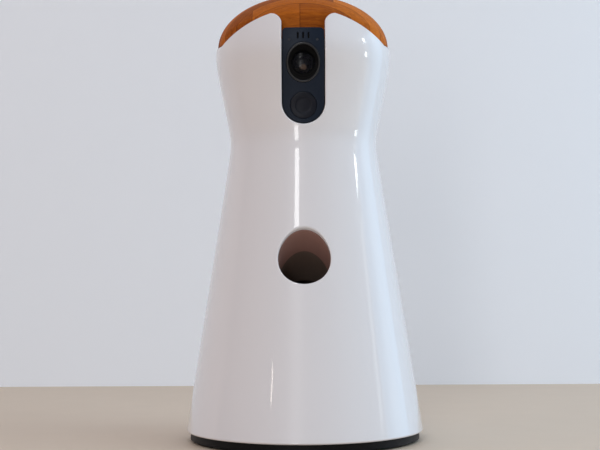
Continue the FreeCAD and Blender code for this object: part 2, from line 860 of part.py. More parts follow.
def rotor():
    wheel = cylinder(("0", "rotor_y", "rotor_low"), "rotor_radius", "rotor_thick")
    peak = cone(("0", "rotor_y", "rotor_top"), "rotor_hub - 1.5", "2", "rotor_cone")
    fin = block(("0", "rotor_y - 0.8", "rotor_top"), ("rotor_radius - 6", "1.6", "4"))
    count = int(value("pocket_count"))
    pockets = []
    for index in range(count):
        angle = -math.pi / 2 + math.tau * index / count
        at = (f"pocket_circle * {math.cos(angle):.6f}",
              f"rotor_y + pocket_circle * {math.sin(angle):.6f}", "rotor_low - 1")
        pockets.append(cylinder(at, "pocket_radius", "rotor_thick + 8"))
    body = fuse(wheel, peak, turn_in_place(fin, 45))
    bore = cylinder(("0", "rotor_y", "rotor_low - 1"), "rotor_shaft_radius + 0.01",
                    "rotor_thick - 1")
    keep(cut(body, bore, *pockets), "rotor")


def turn_in_place(solid, degrees):
    """Turn a solid about the rotor's axis, between two pockets."""
    holder = doc.addObject("Part::Compound", "turned_fin")
    holder.Links = [solid]
    angle = math.radians(degrees)
    holder.Placement = FreeCAD.Placement(FreeCAD.Vector(), FreeCAD.Rotation(Z_AXIS, degrees))
    holder.setExpression("Placement.Base.x", bound(f"rotor_y * {math.sin(angle):.6f}"))
    holder.setExpression("Placement.Base.y", bound(f"rotor_y * {1 - math.cos(angle):.6f}"))
    return holder


def rotor_shaft():
    low = "deck_height - 4"
    keep(cylinder(("0", "rotor_y", low), "rotor_shaft_radius", "rotor_low + rotor_thick - 3 - "
                  "(deck_height - 4)"), "rotor_shaft")


def rotor_housing():
    deck = cylinder(("0", "0", "deck_height"), "deck_radius", "deck_thick")
    ring = tube(("0", "rotor_y", "deck_top"), "rotor_radius + rotor_gap + ring_wall",
                "rotor_radius + rotor_gap", "ring_top - deck_top")
    drop = cylinder(("0", "drop_y", "deck_height"), "drop_bore", "deck_thick")
    shaft = cylinder(("0", "rotor_y", "deck_height"), "rotor_shaft_radius + running_gap",
                     "deck_thick")
    keep(cut(fuse(deck, ring), drop, shaft), "rotor_housing")


def rotor_motor():
    top = "deck_height"
    gearbox = centred_block("0", "rotor_y - dose_motor_depth / 2",
                            f"{top} - dose_gearbox_length", "dose_motor_width",
                            "dose_motor_depth", "dose_gearbox_length")
    can_length = "dose_motor_length - dose_gearbox_length"
    can = common(
        cylinder(("0", "rotor_y", f"{top} - dose_motor_length"), "dose_motor_width / 2",
                 can_length),
        centred_block("0", "rotor_y - dose_motor_depth / 2", f"{top} - dose_motor_length",
                      "dose_motor_width", "dose_motor_depth", can_length))
    bearing = cylinder(("0", "rotor_y", f"{top} - 4"), "rotor_shaft_radius + running_gap", "4")
    keep(cut(fuse(gearbox, can), bearing), "rotor_motor")


# ---------------------------------------------------------------------------
# Drop tube and exit chute
# ---------------------------------------------------------------------------

def drop_tube():
    pipe = tube(("0", "drop_y", "drop_end"), "drop_outer", "drop_bore", "deck_height - drop_end")
    sweep = cylinder(("-frame_inner", "pivot_y", "pivot_z"), "sweep_radius", "2 * frame_inner",
                     "x")
    keep(cut(pipe, sweep, along_chute("chute_outer + 0.3", 0, "chute_length + 0.3")),
         "drop_tube")


def exit_chute():
    pipe = cut(along_chute("chute_outer", -20, "chute_length + 20"),
               along_chute("chute_bore", -21, "chute_length + 22"))
    room = housing_form("wall + 0.2", "shell_bottom + 2", "rim_height - 10", 18)
    keep(common(pipe, room), "exit_chute")


# ---------------------------------------------------------------------------
# Side frames and spacers
# ---------------------------------------------------------------------------

SPACERS = [("-24", "20"), ("28", "22"), ("28", "80"), ("-23.6", "126"), ("24", "126")]


def frame_outline():
    return [("-frame_front", "frame_foot"), ("frame_rear", "frame_foot"),
            ("frame_rear", "speaker_z + 18"), ("frame_rear - 5", "deck_height"),
            ("-28", "deck_height"), ("-30", "exit_height + 18"), ("-38", "exit_height - 3"),
            ("-50", "60")]


def side_frame(label, level, holes):
    spacers = [(y, z, "frame_screw_radius + running_gap") for y, z in SPACERS]
    window = [("0", "exit_height + 14", "9")]
    keep(plate("YZ_Plane", frame_outline(), "frame_thick", spacers + window + holes, level),
         label)


def frames():
    shaft_hole = ("pivot_y", "pivot_z", "arm_shaft_radius + running_gap")
    axle_holes = [("idler_y", "idler_z", "axle_radius + 0.01"),
                  ("cam_y", "cam_z", "axle_radius + 0.01"),
                  ("motor_y", "motor_z", "motor_shaft_radius + 1.5")]
    side_frame("left_frame", "-frame_outer", [shaft_hole])
    side_frame("right_frame", "frame_inner", [shaft_hole] + axle_holes)


def frame_spacers():
    bars = [tube(("-frame_inner", y, z), "spacer_radius", "frame_screw_radius + running_gap",
                 "2 * frame_inner", "x") for y, z in SPACERS]
    keep(group(*bars), "frame_spacers")


def frame_screws():
    """One screw from each side into every spacer."""
    screws = []
    for y, z in SPACERS:
        for side in (-1, 1):
            head = cylinder((f"{side} * frame_outer - {0 if side > 0 else 1.4}", y, z), "2.6",
                            "1.4", "x")
            shank_low = "frame_inner - 8" if side > 0 else "-frame_outer"
            shank = cylinder((shank_low, y, z), "frame_screw_radius", "frame_thick + 8", "x")
            screws.append(fuse(head, shank))
    keep(group(*screws), "frame_screws")


# ---------------------------------------------------------------------------
# Catapult
# ---------------------------------------------------------------------------

def arm_frame(solid):
    """Stand a piece drawn upright at the pivot, leaning back square to the chute."""
    holder = doc.addObject("Part::Compound", "leaning")
    holder.Links = [solid]
    return tilt(holder, ("0", "pivot_y", "pivot_z"), X_AXIS, "-exit_slope")


def launch_arm():
    back = "0.6"
    hub = cylinder(("-arm_width", "0", "0"), "hub_radius", "2 * arm_width", "x")
    stem = centred_block("0", back, "0", "arm_width", "arm_thick", "arm_length")
    paddle = common(
        cylinder(("0", back, "arm_length"), "paddle_radius", "paddle_thick", "y"),
        block((-FAR, 0, 0), (2 * FAR, FAR, 2 * FAR)))
    lip = cut(cylinder(("0", f"{back} + paddle_thick", "arm_length"), "paddle_radius", "1.6",
                       "y"),
              cylinder(("0", f"{back} + paddle_thick", "arm_length"), "paddle_radius - 1.6",
                       "1.6", "y"))
    bore = cylinder(("-arm_width - 1", "0", "0"), "arm_shaft_radius + 0.01",
                    "2 * arm_width + 2", "x")
    keep(arm_frame(cut(fuse(hub, stem, paddle, lip), bore)), "launch_arm")


def arm_shaft():
    keep(cylinder(("-frame_outer", "pivot_y", "pivot_z"), "arm_shaft_radius",
                  "frame_outer + gear_plate_outer", "x"), "arm_shaft")


def cocking_lever():
    """The lever on the arm's shaft that the trip pin of the cam gear pushes."""
    eye = cylinder(("lever_layer", "0", "0"), "4.5", "lever_thick", "x")
    strip = block(("lever_layer", "0", "-3"), ("lever_thick", "lever_length - 3", "6"))
    nose = cylinder(("lever_layer", "lever_length - 3", "0"), "3", "lever_thick", "x")
    bore = cylinder(("lever_layer - 1", "0", "0"), "arm_shaft_radius + 0.01",
                    "lever_thick + 2", "x")
    holder = doc.addObject("Part::Compound", "lever_angle")
    holder.Links = [cut(fuse(eye, strip, nose), bore)]
    keep(tilt(holder, ("0", "pivot_y", "pivot_z"), X_AXIS,
              "atan2(cam_z - pivot_z; cam_y - pivot_y)"), "cocking_lever")


def torsion_spring():
    """The coil round the arm's shaft, beside the hub, with one leg on a frame spacer's side."""
    radius = 4.2
    wire = 0.5
    length = 6.0
    helix = Part.makeHelix(2 * wire + 0.1, length, radius)
    section = Part.Wire(Part.makeCircle(wire, FreeCAD.Vector(radius, 0, 0), Y_AXIS))
    winding = Part.Wire(helix).makePipeShell([section], True, True)
    winding.rotate(FreeCAD.Vector(), Y_AXIS, 90)
    spring = doc.addObject("Part::Feature", "torsion_spring")
    spring.Shape = winding
    keep(move_only(spring, ("-frame_inner + 0.6", "pivot_y", "pivot_z")), "torsion_spring")


def move_only(obj, at):
    for letter, expression in zip("xyz", at):
        obj.setExpression(f"Placement.Base.{letter}", bound(expression))
    return obj


# ---------------------------------------------------------------------------
# Gear train and launch motor
# ---------------------------------------------------------------------------

def gear_train():
    width = value("gear_width")
    pinion, wheel, cam = value("pinion_teeth"), value("wheel_teeth"), value("cam_teeth")
    first = math.radians(value("first_mesh_angle"))
    second = math.radians(value("second_mesh_angle"))
    motor = (value("first_layer"), value("motor_y"), value("motor_z"))
    idler = (value("first_layer"), value("idler_y"), value("idler_z"))
    upper = (value("first_layer") + width, value("idler_y"), value("idler_z"))
    axle = value("axle_radius") + value("running_gap")

    # a tooth of the pinion points at a gap of the wheel, and so on down the train
    shaped(gear(pinion, width, value("motor_shaft_radius") + 0.01, 0, motor, first),
           "motor_pinion")
    wheel_phase = first + math.pi + math.pi / wheel
    big = gear(wheel, width, axle, 0, idler, wheel_phase)
    small_width = width + value("gear_gap")
    small = gear(pinion, small_width, axle, 0, upper, second)
    shaped(big.fuse(small).removeSplitter(), "idler_gear")
    cam_at = (value("second_layer"), value("cam_y"), value("cam_z"))
    body = gear(cam, width, axle, 0, cam_at, second + math.pi + math.pi / cam)
    trip_angle = math.radians(250)
    trip = Part.makeCylinder(
        value("trip_radius"), width + value("lever_thick") + 0.8,
        FreeCAD.Vector(cam_at[0], cam_at[1] + value("trip_circle") * math.cos(trip_angle),
                       cam_at[2] + value("trip_circle") * math.sin(trip_angle)), X_AXIS)
    shaped(body.fuse(trip).removeSplitter(), "cam_gear")


def axles():
    length = "gear_plate_outer - frame_inner"
    keep(cylinder(("frame_inner", "idler_y", "idler_z"), "axle_radius", length, "x"),
         "idler_axle")
    keep(cylinder(("frame_inner", "cam_y", "cam_z"), "axle_radius", length, "x"), "cam_axle")


def launch_motor():
    can = cylinder(("frame_inner - motor_length", "motor_y", "motor_z"), "motor_radius",
                   "motor_length", "x")
    rear = cylinder(("frame_inner - motor_length - 1.2", "motor_y", "motor_z"), "3.5", "1.2",
                    "x")
    bearing = cylinder(("frame_inner - 6", "motor_y", "motor_z"),
                       "motor_shaft_radius + running_gap", "6", "x")
    keep(cut(fuse(can, rear), bearing), "launch_motor")
    keep(cylinder(("frame_inner - 6", "motor_y", "motor_z"), "motor_shaft_radius",
                  "first_layer + gear_width + 6 - frame_inner", "x"), "motor_shaft")


def gear_plate():
    """The outer bearing plate of the gear train, on two pillars from the right frame."""
    pillars = [("pivot_y + 9", "pivot_z + 14"), ("idler_y + 4", "idler_z - 24")]
    outline = [("pivot_y - 4.5", "pivot_z - 6"), ("cam_y - 8", "cam_z - 8"),
               ("idler_y + 9", "idler_z - 29"), ("idler_y + 9", "idler_z + 8"),
               ("pivot_y + 14", "pivot_z + 19"), ("pivot_y + 4", "pivot_z + 19"),
               ("pivot_y - 4.5", "pivot_z + 6")]
    holes = [("pivot_y", "pivot_z", "arm_shaft_radius + running_gap"),
             ("cam_y", "cam_z", "axle_radius + 0.01"),
             ("idler_y", "idler_z", "axle_radius + 0.01")]
    holes += [(y, z, "frame_screw_radius + running_gap") for y, z in pillars]
    keep(plate("YZ_Plane", outline, "gear_plate_thick", holes, "gear_plate_x"), "gear_plate")
    posts = [tube(("frame_outer", y, z), "spacer_radius - 0.4",
                  "frame_screw_radius + running_gap", "gear_plate_x - frame_outer", "x")
             for y, z in pillars]
    keep(group(*posts), "gear_plate_pillars")
    screws = []
    for y, z in pillars:
        head = cylinder(("gear_plate_outer", y, z), "2.6", "1.2", "x")
        shank = cylinder(("gear_plate_outer - 9", y, z), "frame_screw_radius", "9", "x")
        screws.append(fuse(head, shank))
    keep(group(*screws), "gear_plate_screws")


# ---------------------------------------------------------------------------
# Camera in the brow
# ---------------------------------------------------------------------------

def camera_panel():
    outside = housing_form("panel_inset", "waist_height - 6", "crown_height", 12)
    inside = housing_form("panel_inset + panel_thick", "waist_height - 8", "crown_height + 2", 12)
    slab = common(cut(outside, inside),
                  stadium("panel_half_width", "panel_low_centre", "panel_top"))
    openings = [oval(("0", -FAR, "lens_height"), "bezel_half_width + fit_gap",
                     "bezel_half_height + fit_gap", FAR),
                cylinder(("0", -FAR, "window_height"), "window_radius + fit_gap", FAR, "y")]
    for step in (-1, 0, 1):
        openings.append(centred_block(f"{step} * slot_pitch", -FAR, "slot_low", "slot_width",
                                      FAR, "slot_height"))
    for side in (-1, 1):
        openings.append(cylinder((f"{side} * pinhole_x", -FAR, "pinhole_z"),
                                 "pinhole_radius + fit_gap", FAR, "y"))
    keep(cut(cut(slab, *openings), lid_clearance()), "camera_panel")


def lens_parts():
    # the bezel is an oval ring that stands a little proud of the curved panel
    proud = housing_form("panel_inset - bezel_proud", "lens_height - 20", "lens_height + 20", 8)
    bar = oval(("0", "lens_front - 6", "lens_height"), "bezel_half_width", "bezel_half_height",
               "6 + bezel_depth")
    mouth = cone(("0", "lens_front - 6", "lens_height"),
                 "glass_radius + fit_gap + 4.5", "glass_radius + fit_gap - 0.5",
                 "6 + glass_set_back", "y")
    seat = cylinder(("0", "lens_front + glass_set_back", "lens_height"),
                    "glass_radius + fit_gap", FAR, "y")
    roof = cylinder(("0", "0", "bin_roof - lid_gap"), "flange_radius + lid_gap", "2 * roof_thick")
    keep(cut(common(bar, proud), mouth, seat, roof), "lens_bezel")

    front = "lens_front + glass_set_back"
    rim = cylinder(("0", front, "lens_height"), "glass_radius", "glass_thick", "y")
    bulge = primitive("Sphere", ("0", f"{front} + glass_curve", "lens_height"), "z",
                      Radius="glass_curve")
    keep(common(rim, bulge), "lens_glass")

    barrel = cylinder(("0", "barrel_front", "lens_height"), "barrel_radius", "barrel_length",
                      "y")
    sink = cone(("0", "barrel_front", "lens_height"), "barrel_radius - 0.8",
                "objective_radius + fit_gap", "1.6", "y")
    bore = cylinder(("0", "barrel_front", "lens_height"), "objective_radius + fit_gap",
                    "barrel_length", "y")
    keep(cut(barrel, sink, bore), "lens_barrel")

    element = cylinder(("0", "barrel_front + 1", "lens_height"), "objective_radius", "2.4", "y")
    curve = primitive("Sphere", ("0", "barrel_front + 1 + 5", "lens_height"), "z", Radius="5")
    keep(common(element, curve), "objective_lens")


def lens_mounting():
    block_ = centred_block("0", "holder_front", "lens_height - holder_width / 2",
                           "holder_width", "holder_depth", "holder_width")
    bore = cylinder(("0", "holder_front", "lens_height"), "barrel_radius + fit_gap",
                    "holder_depth", "y")
    keep(cut(block_, bore), "lens_holder")
    keep(centred_block("0", "bracket_back - sensor_thick", "lens_height - sensor_size / 2",
                       "sensor_size", "sensor_thick", "sensor_size"), "image_sensor")
    keep(centred_block("0", "bracket_back", "lens_height - holder_width / 2 - 8",
                       "sensor_board_width", "board_thick - 0.4", "sensor_board_height"),
         "sensor_board")


def camera_bracket():
    """The carrier behind the panel, with arms that run back to the treat bin's flat front."""
    low = "window_height - window_radius - 1.4"
    slab = centred_block("0", "bracket_front", low, "2 * bracket_half_width", "bracket_thick",
                         f"bin_roof - 0.3 - ({low})")
    opening = centred_block("0", "bracket_front - 1", "lens_height - holder_width / 2 - fit_gap",
                            "holder_width + 2 * fit_gap", "bracket_thick + 2",
                            "holder_width + 2 * fit_gap")
    arms = []
    for side in (-1, 1):
        arms.append(centred_block(f"{side} * (bracket_half_width - 1)", "bracket_front", low,
                                  "2", "-bin_flat - bracket_front", "8"))
    feet = centred_block("0", "-bin_flat - 2", low, "2 * bracket_half_width", "2", "8")
    keep(fuse(cut(slab, opening), feet, *arms), "camera_bracket")


def infrared_window():
    keep(cylinder(("0", "window_front", "window_height"), "window_radius", "window_thick",
                  "y"), "ir_window")
    board = "bracket_front - (board_thick - 0.4)"
    keep(cylinder(("0", board, "window_height"), "window_radius", "board_thick - 0.4", "y"),
         "ir_board")
    leds = []
    for index in range(4):
        angle = math.tau * (index + 0.5) / 4
        leds.append(cylinder((f"led_circle * {math.cos(angle):.6f}",
                              f"{board} - led_length",
                              f"window_height + led_circle * {math.sin(angle):.6f}"),
                             "led_radius", "led_length", "y"))
    keep(group(*leds), "ir_leds")


def small_sensors():
    keep(centred_block("0", "slot_front + panel_thick + 0.3", "roof_top + 0.1",
                       "microphone_width", "microphone_depth", "microphone_height"),
         "microphone")
    pipes = [cylinder((f"{side} * pinhole_x", "slot_front + 0.9", "pinhole_z"),
                      "pinhole_radius", "3", "y") for side in (-1, 1)]
    keep(group(*pipes), "light_pipes")


# ---------------------------------------------------------------------------
# Electronics
# ---------------------------------------------------------------------------

def main_board():
    half = "main_board_width / 2"
    outline = [(f"-{half}", "main_board_low"), (half, "main_board_low"),
               (half, "main_board_low + main_board_height"),
               (f"-{half}", "main_board_low + main_board_height")]
    keep(plate("XZ_Plane", outline, "board_thick", (), "-board_back"), "main_board")
    standoffs = []
    for side in (-1, 1):
        for z in ("main_board_low + 6", "main_board_low + main_board_height - 6"):
            standoffs.append(cylinder((f"{side} * (frame_inner + frame_thick / 2)",
                                       "frame_rear", z), "frame_thick / 2 + 0.6",
                                      "main_board_y - frame_rear", "y"))
    keep(group(*standoffs), "board_standoffs")
    keep(centred_block("8", "board_back", "main_board_low + 34", "15", "2.4", "18"),
         "wifi_module")
    chips = [centred_block("-10", "board_back", "main_board_low + 30", "12", "1.2", "12"),
             centred_block("-10", "board_back", "main_board_low + 12", "9", "1.2", "9"),
             centred_block("6", "board_back", "main_board_low + 14", "8", "1.4", "6"),
             cylinder(("16", "board_back", "main_board_low + 10"), "3.2", "5", "y"),
             cylinder(("16", "board_back", "main_board_low + 20"), "3.2", "5", "y"),
             centred_block("0", "board_back", "main_board_low + 2", "10", "3", "4")]
    keep(group(*chips), "board_chips")


def speaker():
    flange = cut(centred_block("0", "frame_rear", "speaker_z - frame_outer",
                               "2 * frame_outer", "speaker_plate", "2 * frame_outer"),
                 cylinder(("0", "frame_rear", "speaker_z"), "speaker_radius - 2",
                          "speaker_plate", "y"))
    drum = tube(("0", "frame_rear", "speaker_z"), "speaker_radius", "speaker_radius - 2",
                "speaker_depth", "y")
    magnet = cylinder(("0", "magnet_front", "speaker_z"), "magnet_radius", "magnet_depth", "y")
    back = cylinder(("0", "frame_rear", "speaker_z"), "speaker_radius", "speaker_plate", "y")
    keep(fuse(flange, drum, magnet, back), "speaker")
    diaphragm = cone(("0", "frame_rear + speaker_plate", "speaker_z"), "3",
                     "speaker_radius - 2.1", "speaker_depth - speaker_plate - 0.6", "y")
    hollow = cone(("0", "frame_rear + speaker_plate + 0.6", "speaker_z"), "2.4",
                  "speaker_radius - 2.7", "speaker_depth - speaker_plate", "y")
    keep(cut(diaphragm, hollow), "speaker_cone")


def power_inlet():
    """A small board with the flat power socket, behind the cut-out in the rear of the shell."""
    keep(centred_block("0", "port_face - 1 - power_board_length", "power_board_z",
                       "power_board_width", "power_board_length", "board_thick"),
         "power_board")
    low = "power_board_z + board_thick"
    case = centred_block("0", "port_face - port_depth", low, "port_width", "port_depth",
                         "port_height")
    mouth = centred_block("0", "port_face - port_depth + 1", f"{low} + 0.4",
                          "port_width - 0.8", "port_depth", "port_height - 0.8")
    tongue = centred_block("0", "port_face - port_depth + 0.5", f"{low} + port_height / 2 - 0.1",
                           "port_width - 3", "port_depth - 1.2", "0.6")
    keep(fuse(cut(case, mouth), tongue), "power_socket")


# ---------------------------------------------------------------------------
# Setup button under the base
# ---------------------------------------------------------------------------

def setup_button():
    body = turned([("0", "button_low"), ("button_radius", "button_low"),
                   ("button_radius", "flange_low"), ("button_flange", "flange_low"),
                   ("button_flange", "flange_top"), ("button_spring_radius - 0.8", "flange_top"),
                   ("button_spring_radius - 0.8", "button_board_z - button_travel - 0.8"),
                   ("0", "button_board_z - button_travel - 0.8")])
    keep(move(body, ("button_x", "button_y", "0")), "setup_button")
    spring = doc.addObject("Part::Feature", "button_spring")
    spring.Shape = coil(value("button_spring_radius"), value("button_spring_wire"),
                        value("spring_high") - value("spring_low"),
                        value("button_spring_turns"))
    keep(move_only(spring, ("button_x", "button_y", "spring_low")), "button_spring")
    keep(centred_block("button_x", "button_y - 5", "button_board_z", "20", "10",
                       "board_thick - 0.4"), "button_board")


outer_shell()
base_plate()
foot_ring()
base_screws()
wood_dome()
lid_plate()
lid_gasket()
lid_screws()
hopper_bin()
hopper_funnel()
rotor()
rotor_shaft()
rotor_housing()
rotor_motor()
drop_tube()
exit_chute()
frames()
frame_spacers()
frame_screws()
launch_arm()
arm_shaft()
cocking_lever()
torsion_spring()
gear_train()
axles()
launch_motor()
gear_plate()
camera_panel()
lens_parts()
lens_mounting()
camera_bracket()
infrared_window()
small_sensors()
main_board()
speaker()
power_inlet()
setup_button()

doc.recompute()

failed = [obj.Label for obj in doc.Objects if {"Invalid", "Error"} & set(obj.State)]
if failed:
    raise RuntimeError(f"features that failed: {failed}")
for part in parts:
    if part.Shape.isNull() or not part.Shape.isValid() or not part.Shape.Solids:
        raise RuntimeError(f"sub-part without a valid solid: {part.Label}")

os.makedirs("parts", exist_ok=True)
for part in parts:
    part.Shape.exportStep(os.path.join("parts", f"{part.Label}.step"))
    box = part.Shape.BoundBox
    print(f"{part.Label}: {len(part.Shape.Solids)} solids, {part.Shape.Volume:.0f} mm3, "
          f"x {box.XMin:.1f} {box.XMax:.1f}  y {box.YMin:.1f} {box.YMax:.1f}  "
          f"z {box.ZMin:.1f} {box.ZMax:.1f}")
print(len(parts), "sub-parts")
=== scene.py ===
# %% [markdown]
# # A treat tossing pet camera
# This lesson dresses a finished CAD model: a glossy white hourglass housing with a domed wooden
# lid, a dark camera strip in its brow, and a round treat exit.  The CAD solids already stand in
# their places, so every piece here is made where it belongs, with its object at the origin.
# Forms are worked out in millimetres and become metres when they are made into meshes.

# %% Load the CAD model
import json
import math
import bpy
import numpy as np
from mathutils import Matrix, Vector
from mathutils.geometry import delaunay_2d_cdt

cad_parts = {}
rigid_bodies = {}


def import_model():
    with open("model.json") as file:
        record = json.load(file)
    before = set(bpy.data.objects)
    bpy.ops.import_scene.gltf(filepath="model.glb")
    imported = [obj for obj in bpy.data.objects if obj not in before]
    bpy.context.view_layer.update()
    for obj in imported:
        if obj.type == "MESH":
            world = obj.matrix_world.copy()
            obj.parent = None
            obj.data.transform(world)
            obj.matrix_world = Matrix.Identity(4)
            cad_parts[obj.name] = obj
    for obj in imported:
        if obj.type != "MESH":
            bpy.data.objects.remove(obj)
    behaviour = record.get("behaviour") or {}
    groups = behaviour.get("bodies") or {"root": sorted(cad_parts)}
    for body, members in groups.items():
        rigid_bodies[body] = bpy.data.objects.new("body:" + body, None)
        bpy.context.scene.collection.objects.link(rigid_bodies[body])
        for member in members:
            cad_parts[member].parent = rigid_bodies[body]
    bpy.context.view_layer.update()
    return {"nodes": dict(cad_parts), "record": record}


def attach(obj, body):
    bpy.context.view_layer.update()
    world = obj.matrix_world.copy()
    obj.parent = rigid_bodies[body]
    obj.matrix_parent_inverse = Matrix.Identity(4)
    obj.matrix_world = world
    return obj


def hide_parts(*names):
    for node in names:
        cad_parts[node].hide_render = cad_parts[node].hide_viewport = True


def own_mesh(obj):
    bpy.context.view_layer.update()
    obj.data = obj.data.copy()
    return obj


for left_over in list(bpy.data.objects):
    bpy.data.objects.remove(left_over)
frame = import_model()
nodes = frame["nodes"]
MM = 0.001              # one millimetre, in metres

# %% [markdown]
# ## The camera
# A table-top product is seen from about its own height.  The camera stands low in front, looks
# up by two degrees, and leans by a third of a degree, as a hand-held one does.

# %% Place the camera
CAMERA_PLACE = (-0.0020, -0.7692, 0.0812)
CAMERA_PITCH, CAMERA_ROLL = math.radians(2.08), math.radians(0.3)


def add_object(name, data):
    """An object for a mesh, a lamp or a camera, linked into the scene."""
    thing = bpy.data.objects.new(name, data)
    bpy.context.scene.collection.objects.link(thing)
    return thing


def aim(thing, place, forward, roll=0.0):
    """Stand a camera or a lamp at a place, looking along a direction, with its top up."""
    forward = Vector(forward).normalized()
    right = forward.cross(Vector((0, 0, 1))).normalized()
    up = right.cross(forward)
    turned_right = right * math.cos(roll) - up * math.sin(roll)
    turned_up = up * math.cos(roll) + right * math.sin(roll)
    turn = Matrix((turned_right, turned_up, -forward)).transposed()
    thing.matrix_world = Matrix.Translation(place) @ turn.to_4x4()


camera_data = bpy.data.cameras.new("camera")
camera_data.sensor_width, camera_data.lens = 36, 90
camera_data.clip_start = 0.01
camera = add_object("camera", camera_data)
aim(camera, CAMERA_PLACE, (0, math.cos(CAMERA_PITCH), math.sin(CAMERA_PITCH)), CAMERA_ROLL)
bpy.context.scene.camera = camera
print("camera distance from the axis, m:", round(abs(camera.location.y), 3))

# %% [markdown]
# ## The studio
# A glossy white body shows every lamp as a reflection.  The large softboxes are therefore kept
# out of reflections and only shade the form: cool from the right, warm and weaker from the left.
# The gloss is drawn by small lamps.  Two strips in front, one above the other, make the bright
# upright line over the treat exit and under it.  Three lamps in a column at the right make the
# broken line along the right side, a small warm one a glint at the left, and a blue glow behind
# the right side tints its edge.

# %% Hang the lamps
MIDDLE = (0, 0, 0.12)   # the point that every lamp faces
WHITE, WINDOW_WHITE = (1, 1, 1), (0.88, 0.97, 1.0)


def around(turn, rise, distance):
    """A place round the object: turn from the front towards +X, rise above the horizon."""
    turn, rise = math.radians(turn), math.radians(rise)
    return (distance * math.cos(rise) * math.sin(turn),
            -distance * math.cos(rise) * math.cos(turn), MIDDLE[2] + distance * math.sin(rise))


def softbox(name, place, width, height, power, colour, reflected=False):
    """A rectangular lamp that faces the object and may show in its gloss."""
    lamp = bpy.data.lights.new(name, "AREA")
    lamp.shape = "RECTANGLE"
    lamp.size, lamp.size_y = width, height
    lamp.energy, lamp.color = power, colour
    holder = add_object(name, lamp)
    aim(holder, place, Vector(MIDDLE) - Vector(place))
    holder.visible_camera, holder.visible_glossy = False, reflected


softbox("cool_softbox", around(66, 26, 1.6), 1.2, 1.4, 9.3, (0.72, 0.89, 1.0))
softbox("warm_softbox", around(-70, 24, 1.6), 1.2, 1.2, 3.4, (1.0, 0.79, 0.70))
softbox("top_softbox", (0.1, -0.2, 1.7), 1.2, 1.2, 3.2, (1.0, 0.96, 0.97))
softbox("high_strip", around(-11, 35.3, 1.5), 0.16, 0.50, 2.0, WHITE, True)
softbox("low_strip", around(-11, 5.0, 1.5), 0.16, 0.66, 2.5, WHITE, True)
softbox("high_window", around(90, 22.5, 1.4), 0.10, 0.17, 0.6, WINDOW_WHITE, True)
softbox("mid_window", around(90, 12, 1.4), 0.10, 0.27, 0.09, WINDOW_WHITE, True)
softbox("low_window", around(90, 1.5, 1.4), 0.10, 0.15, 0.5, WINDOW_WHITE, True)
softbox("warm_line", around(-40.3, 18.3, 1.5), 0.035, 0.045, 0.05, (1.0, 0.9, 0.8), True)
softbox("right_glow", around(108, 8, 0.62), 0.36, 0.55, 0.55, (0.30, 0.65, 1.0), True)
world = bpy.data.worlds.new("studio")
bpy.context.scene.world = world
world.use_nodes = True
background = world.node_tree.nodes["Background"].inputs
background["Color"].default_value = (0.855, 0.855, 0.925, 1)
background["Strength"].default_value = 0.362
bpy.context.scene.view_settings.view_transform = "Standard"
print("lamps:", len(bpy.data.lights))

# %% [markdown]
# ## Tools for materials
# A material is a small network of nodes.  Short helpers keep the networks readable: one adds a
# node with its settings, and the others stand for the steps that come again and again, such as
# arithmetic, noise, a mix of two colours and a bump.

# %% Add nodes and link them
def add_node(tree, kind, inputs=None, **settings):
    """Add a node with its settings; each input is a socket to link or a value to write."""
    node = tree.nodes.new(kind)
    for key, setting in settings.items():
        setattr(node, key, setting)
    for key, source in (inputs or {}).items():
        if isinstance(source, bpy.types.NodeSocket):
            tree.links.new(source, node.inputs[key])
        else:
            node.inputs[key].default_value = source
    return node


def spaced(values):
    """Keyword names turned into socket names."""
    return {key.replace("_", " "): value for key, value in values.items()}


def lead(tree, target, **sockets):
    """Link sockets to the named inputs of a node."""
    for name, socket in spaced(sockets).items():
        tree.links.new(socket, target.inputs[name])


print("one helper adds nodes, one links them")

# %% Steps that come again and again
def calculate(tree, operation, first, second=0.0, third=0.0):
    """One step of arithmetic on numbers or sockets."""
    return add_node(tree, "ShaderNodeMath", {0: first, 1: second, 2: third},
                    operation=operation).outputs[0]


def vector_step(tree, operation, first, second=(0, 0, 0)):
    """One step of arithmetic on vectors; a product, distance or length is a number."""
    key = "Scale" if operation == "SCALE" else 1
    node = add_node(tree, "ShaderNodeVectorMath", {0: first, key: second}, operation=operation)
    is_number = operation in ("DOT_PRODUCT", "DISTANCE", "LENGTH")
    return node.outputs["Value" if is_number else "Vector"]


def noise(tree, place, scale, detail, **more):
    """A cloudy pattern between 0 and 1."""
    inputs = {"Vector": place, "Scale": scale, "Detail": detail, **more}
    return add_node(tree, "ShaderNodeTexNoise", inputs).outputs["Fac"]


def mix(tree, share, first, second):
    """Two colours mixed: 0 gives the first, 1 the second."""
    return add_node(tree, "ShaderNodeMix", {"Factor": share, "A": first, "B": second},
                    data_type="RGBA").outputs["Result"]


def fade(tree, distance, first, last, at_first, at_last):
    """A soft step from one value to another between two distances."""
    inputs = {"Value": distance, "From Min": first, "From Max": last, "To Min": at_first,
              "To Max": at_last}
    return add_node(tree, "ShaderNodeMapRange", inputs,
                    interpolation_type="SMOOTHSTEP").outputs["Result"]


def object_place(tree):
    return add_node(tree, "ShaderNodeTexCoord").outputs["Object"]


def split(tree, place):
    return add_node(tree, "ShaderNodeSeparateXYZ", {0: place}).outputs


def combine(tree, **parts):
    return add_node(tree, "ShaderNodeCombineXYZ", parts).outputs[0]


def raise_surface(tree, shader, height, strength, distance):
    """Bump a shader's surface by a height; the distance is in metres."""
    bump = add_node(tree, "ShaderNodeBump", {"Height": height, "Strength": strength,
                                             "Distance": distance})
    lead(tree, shader, Normal=bump.outputs["Normal"])


print("helpers ready")

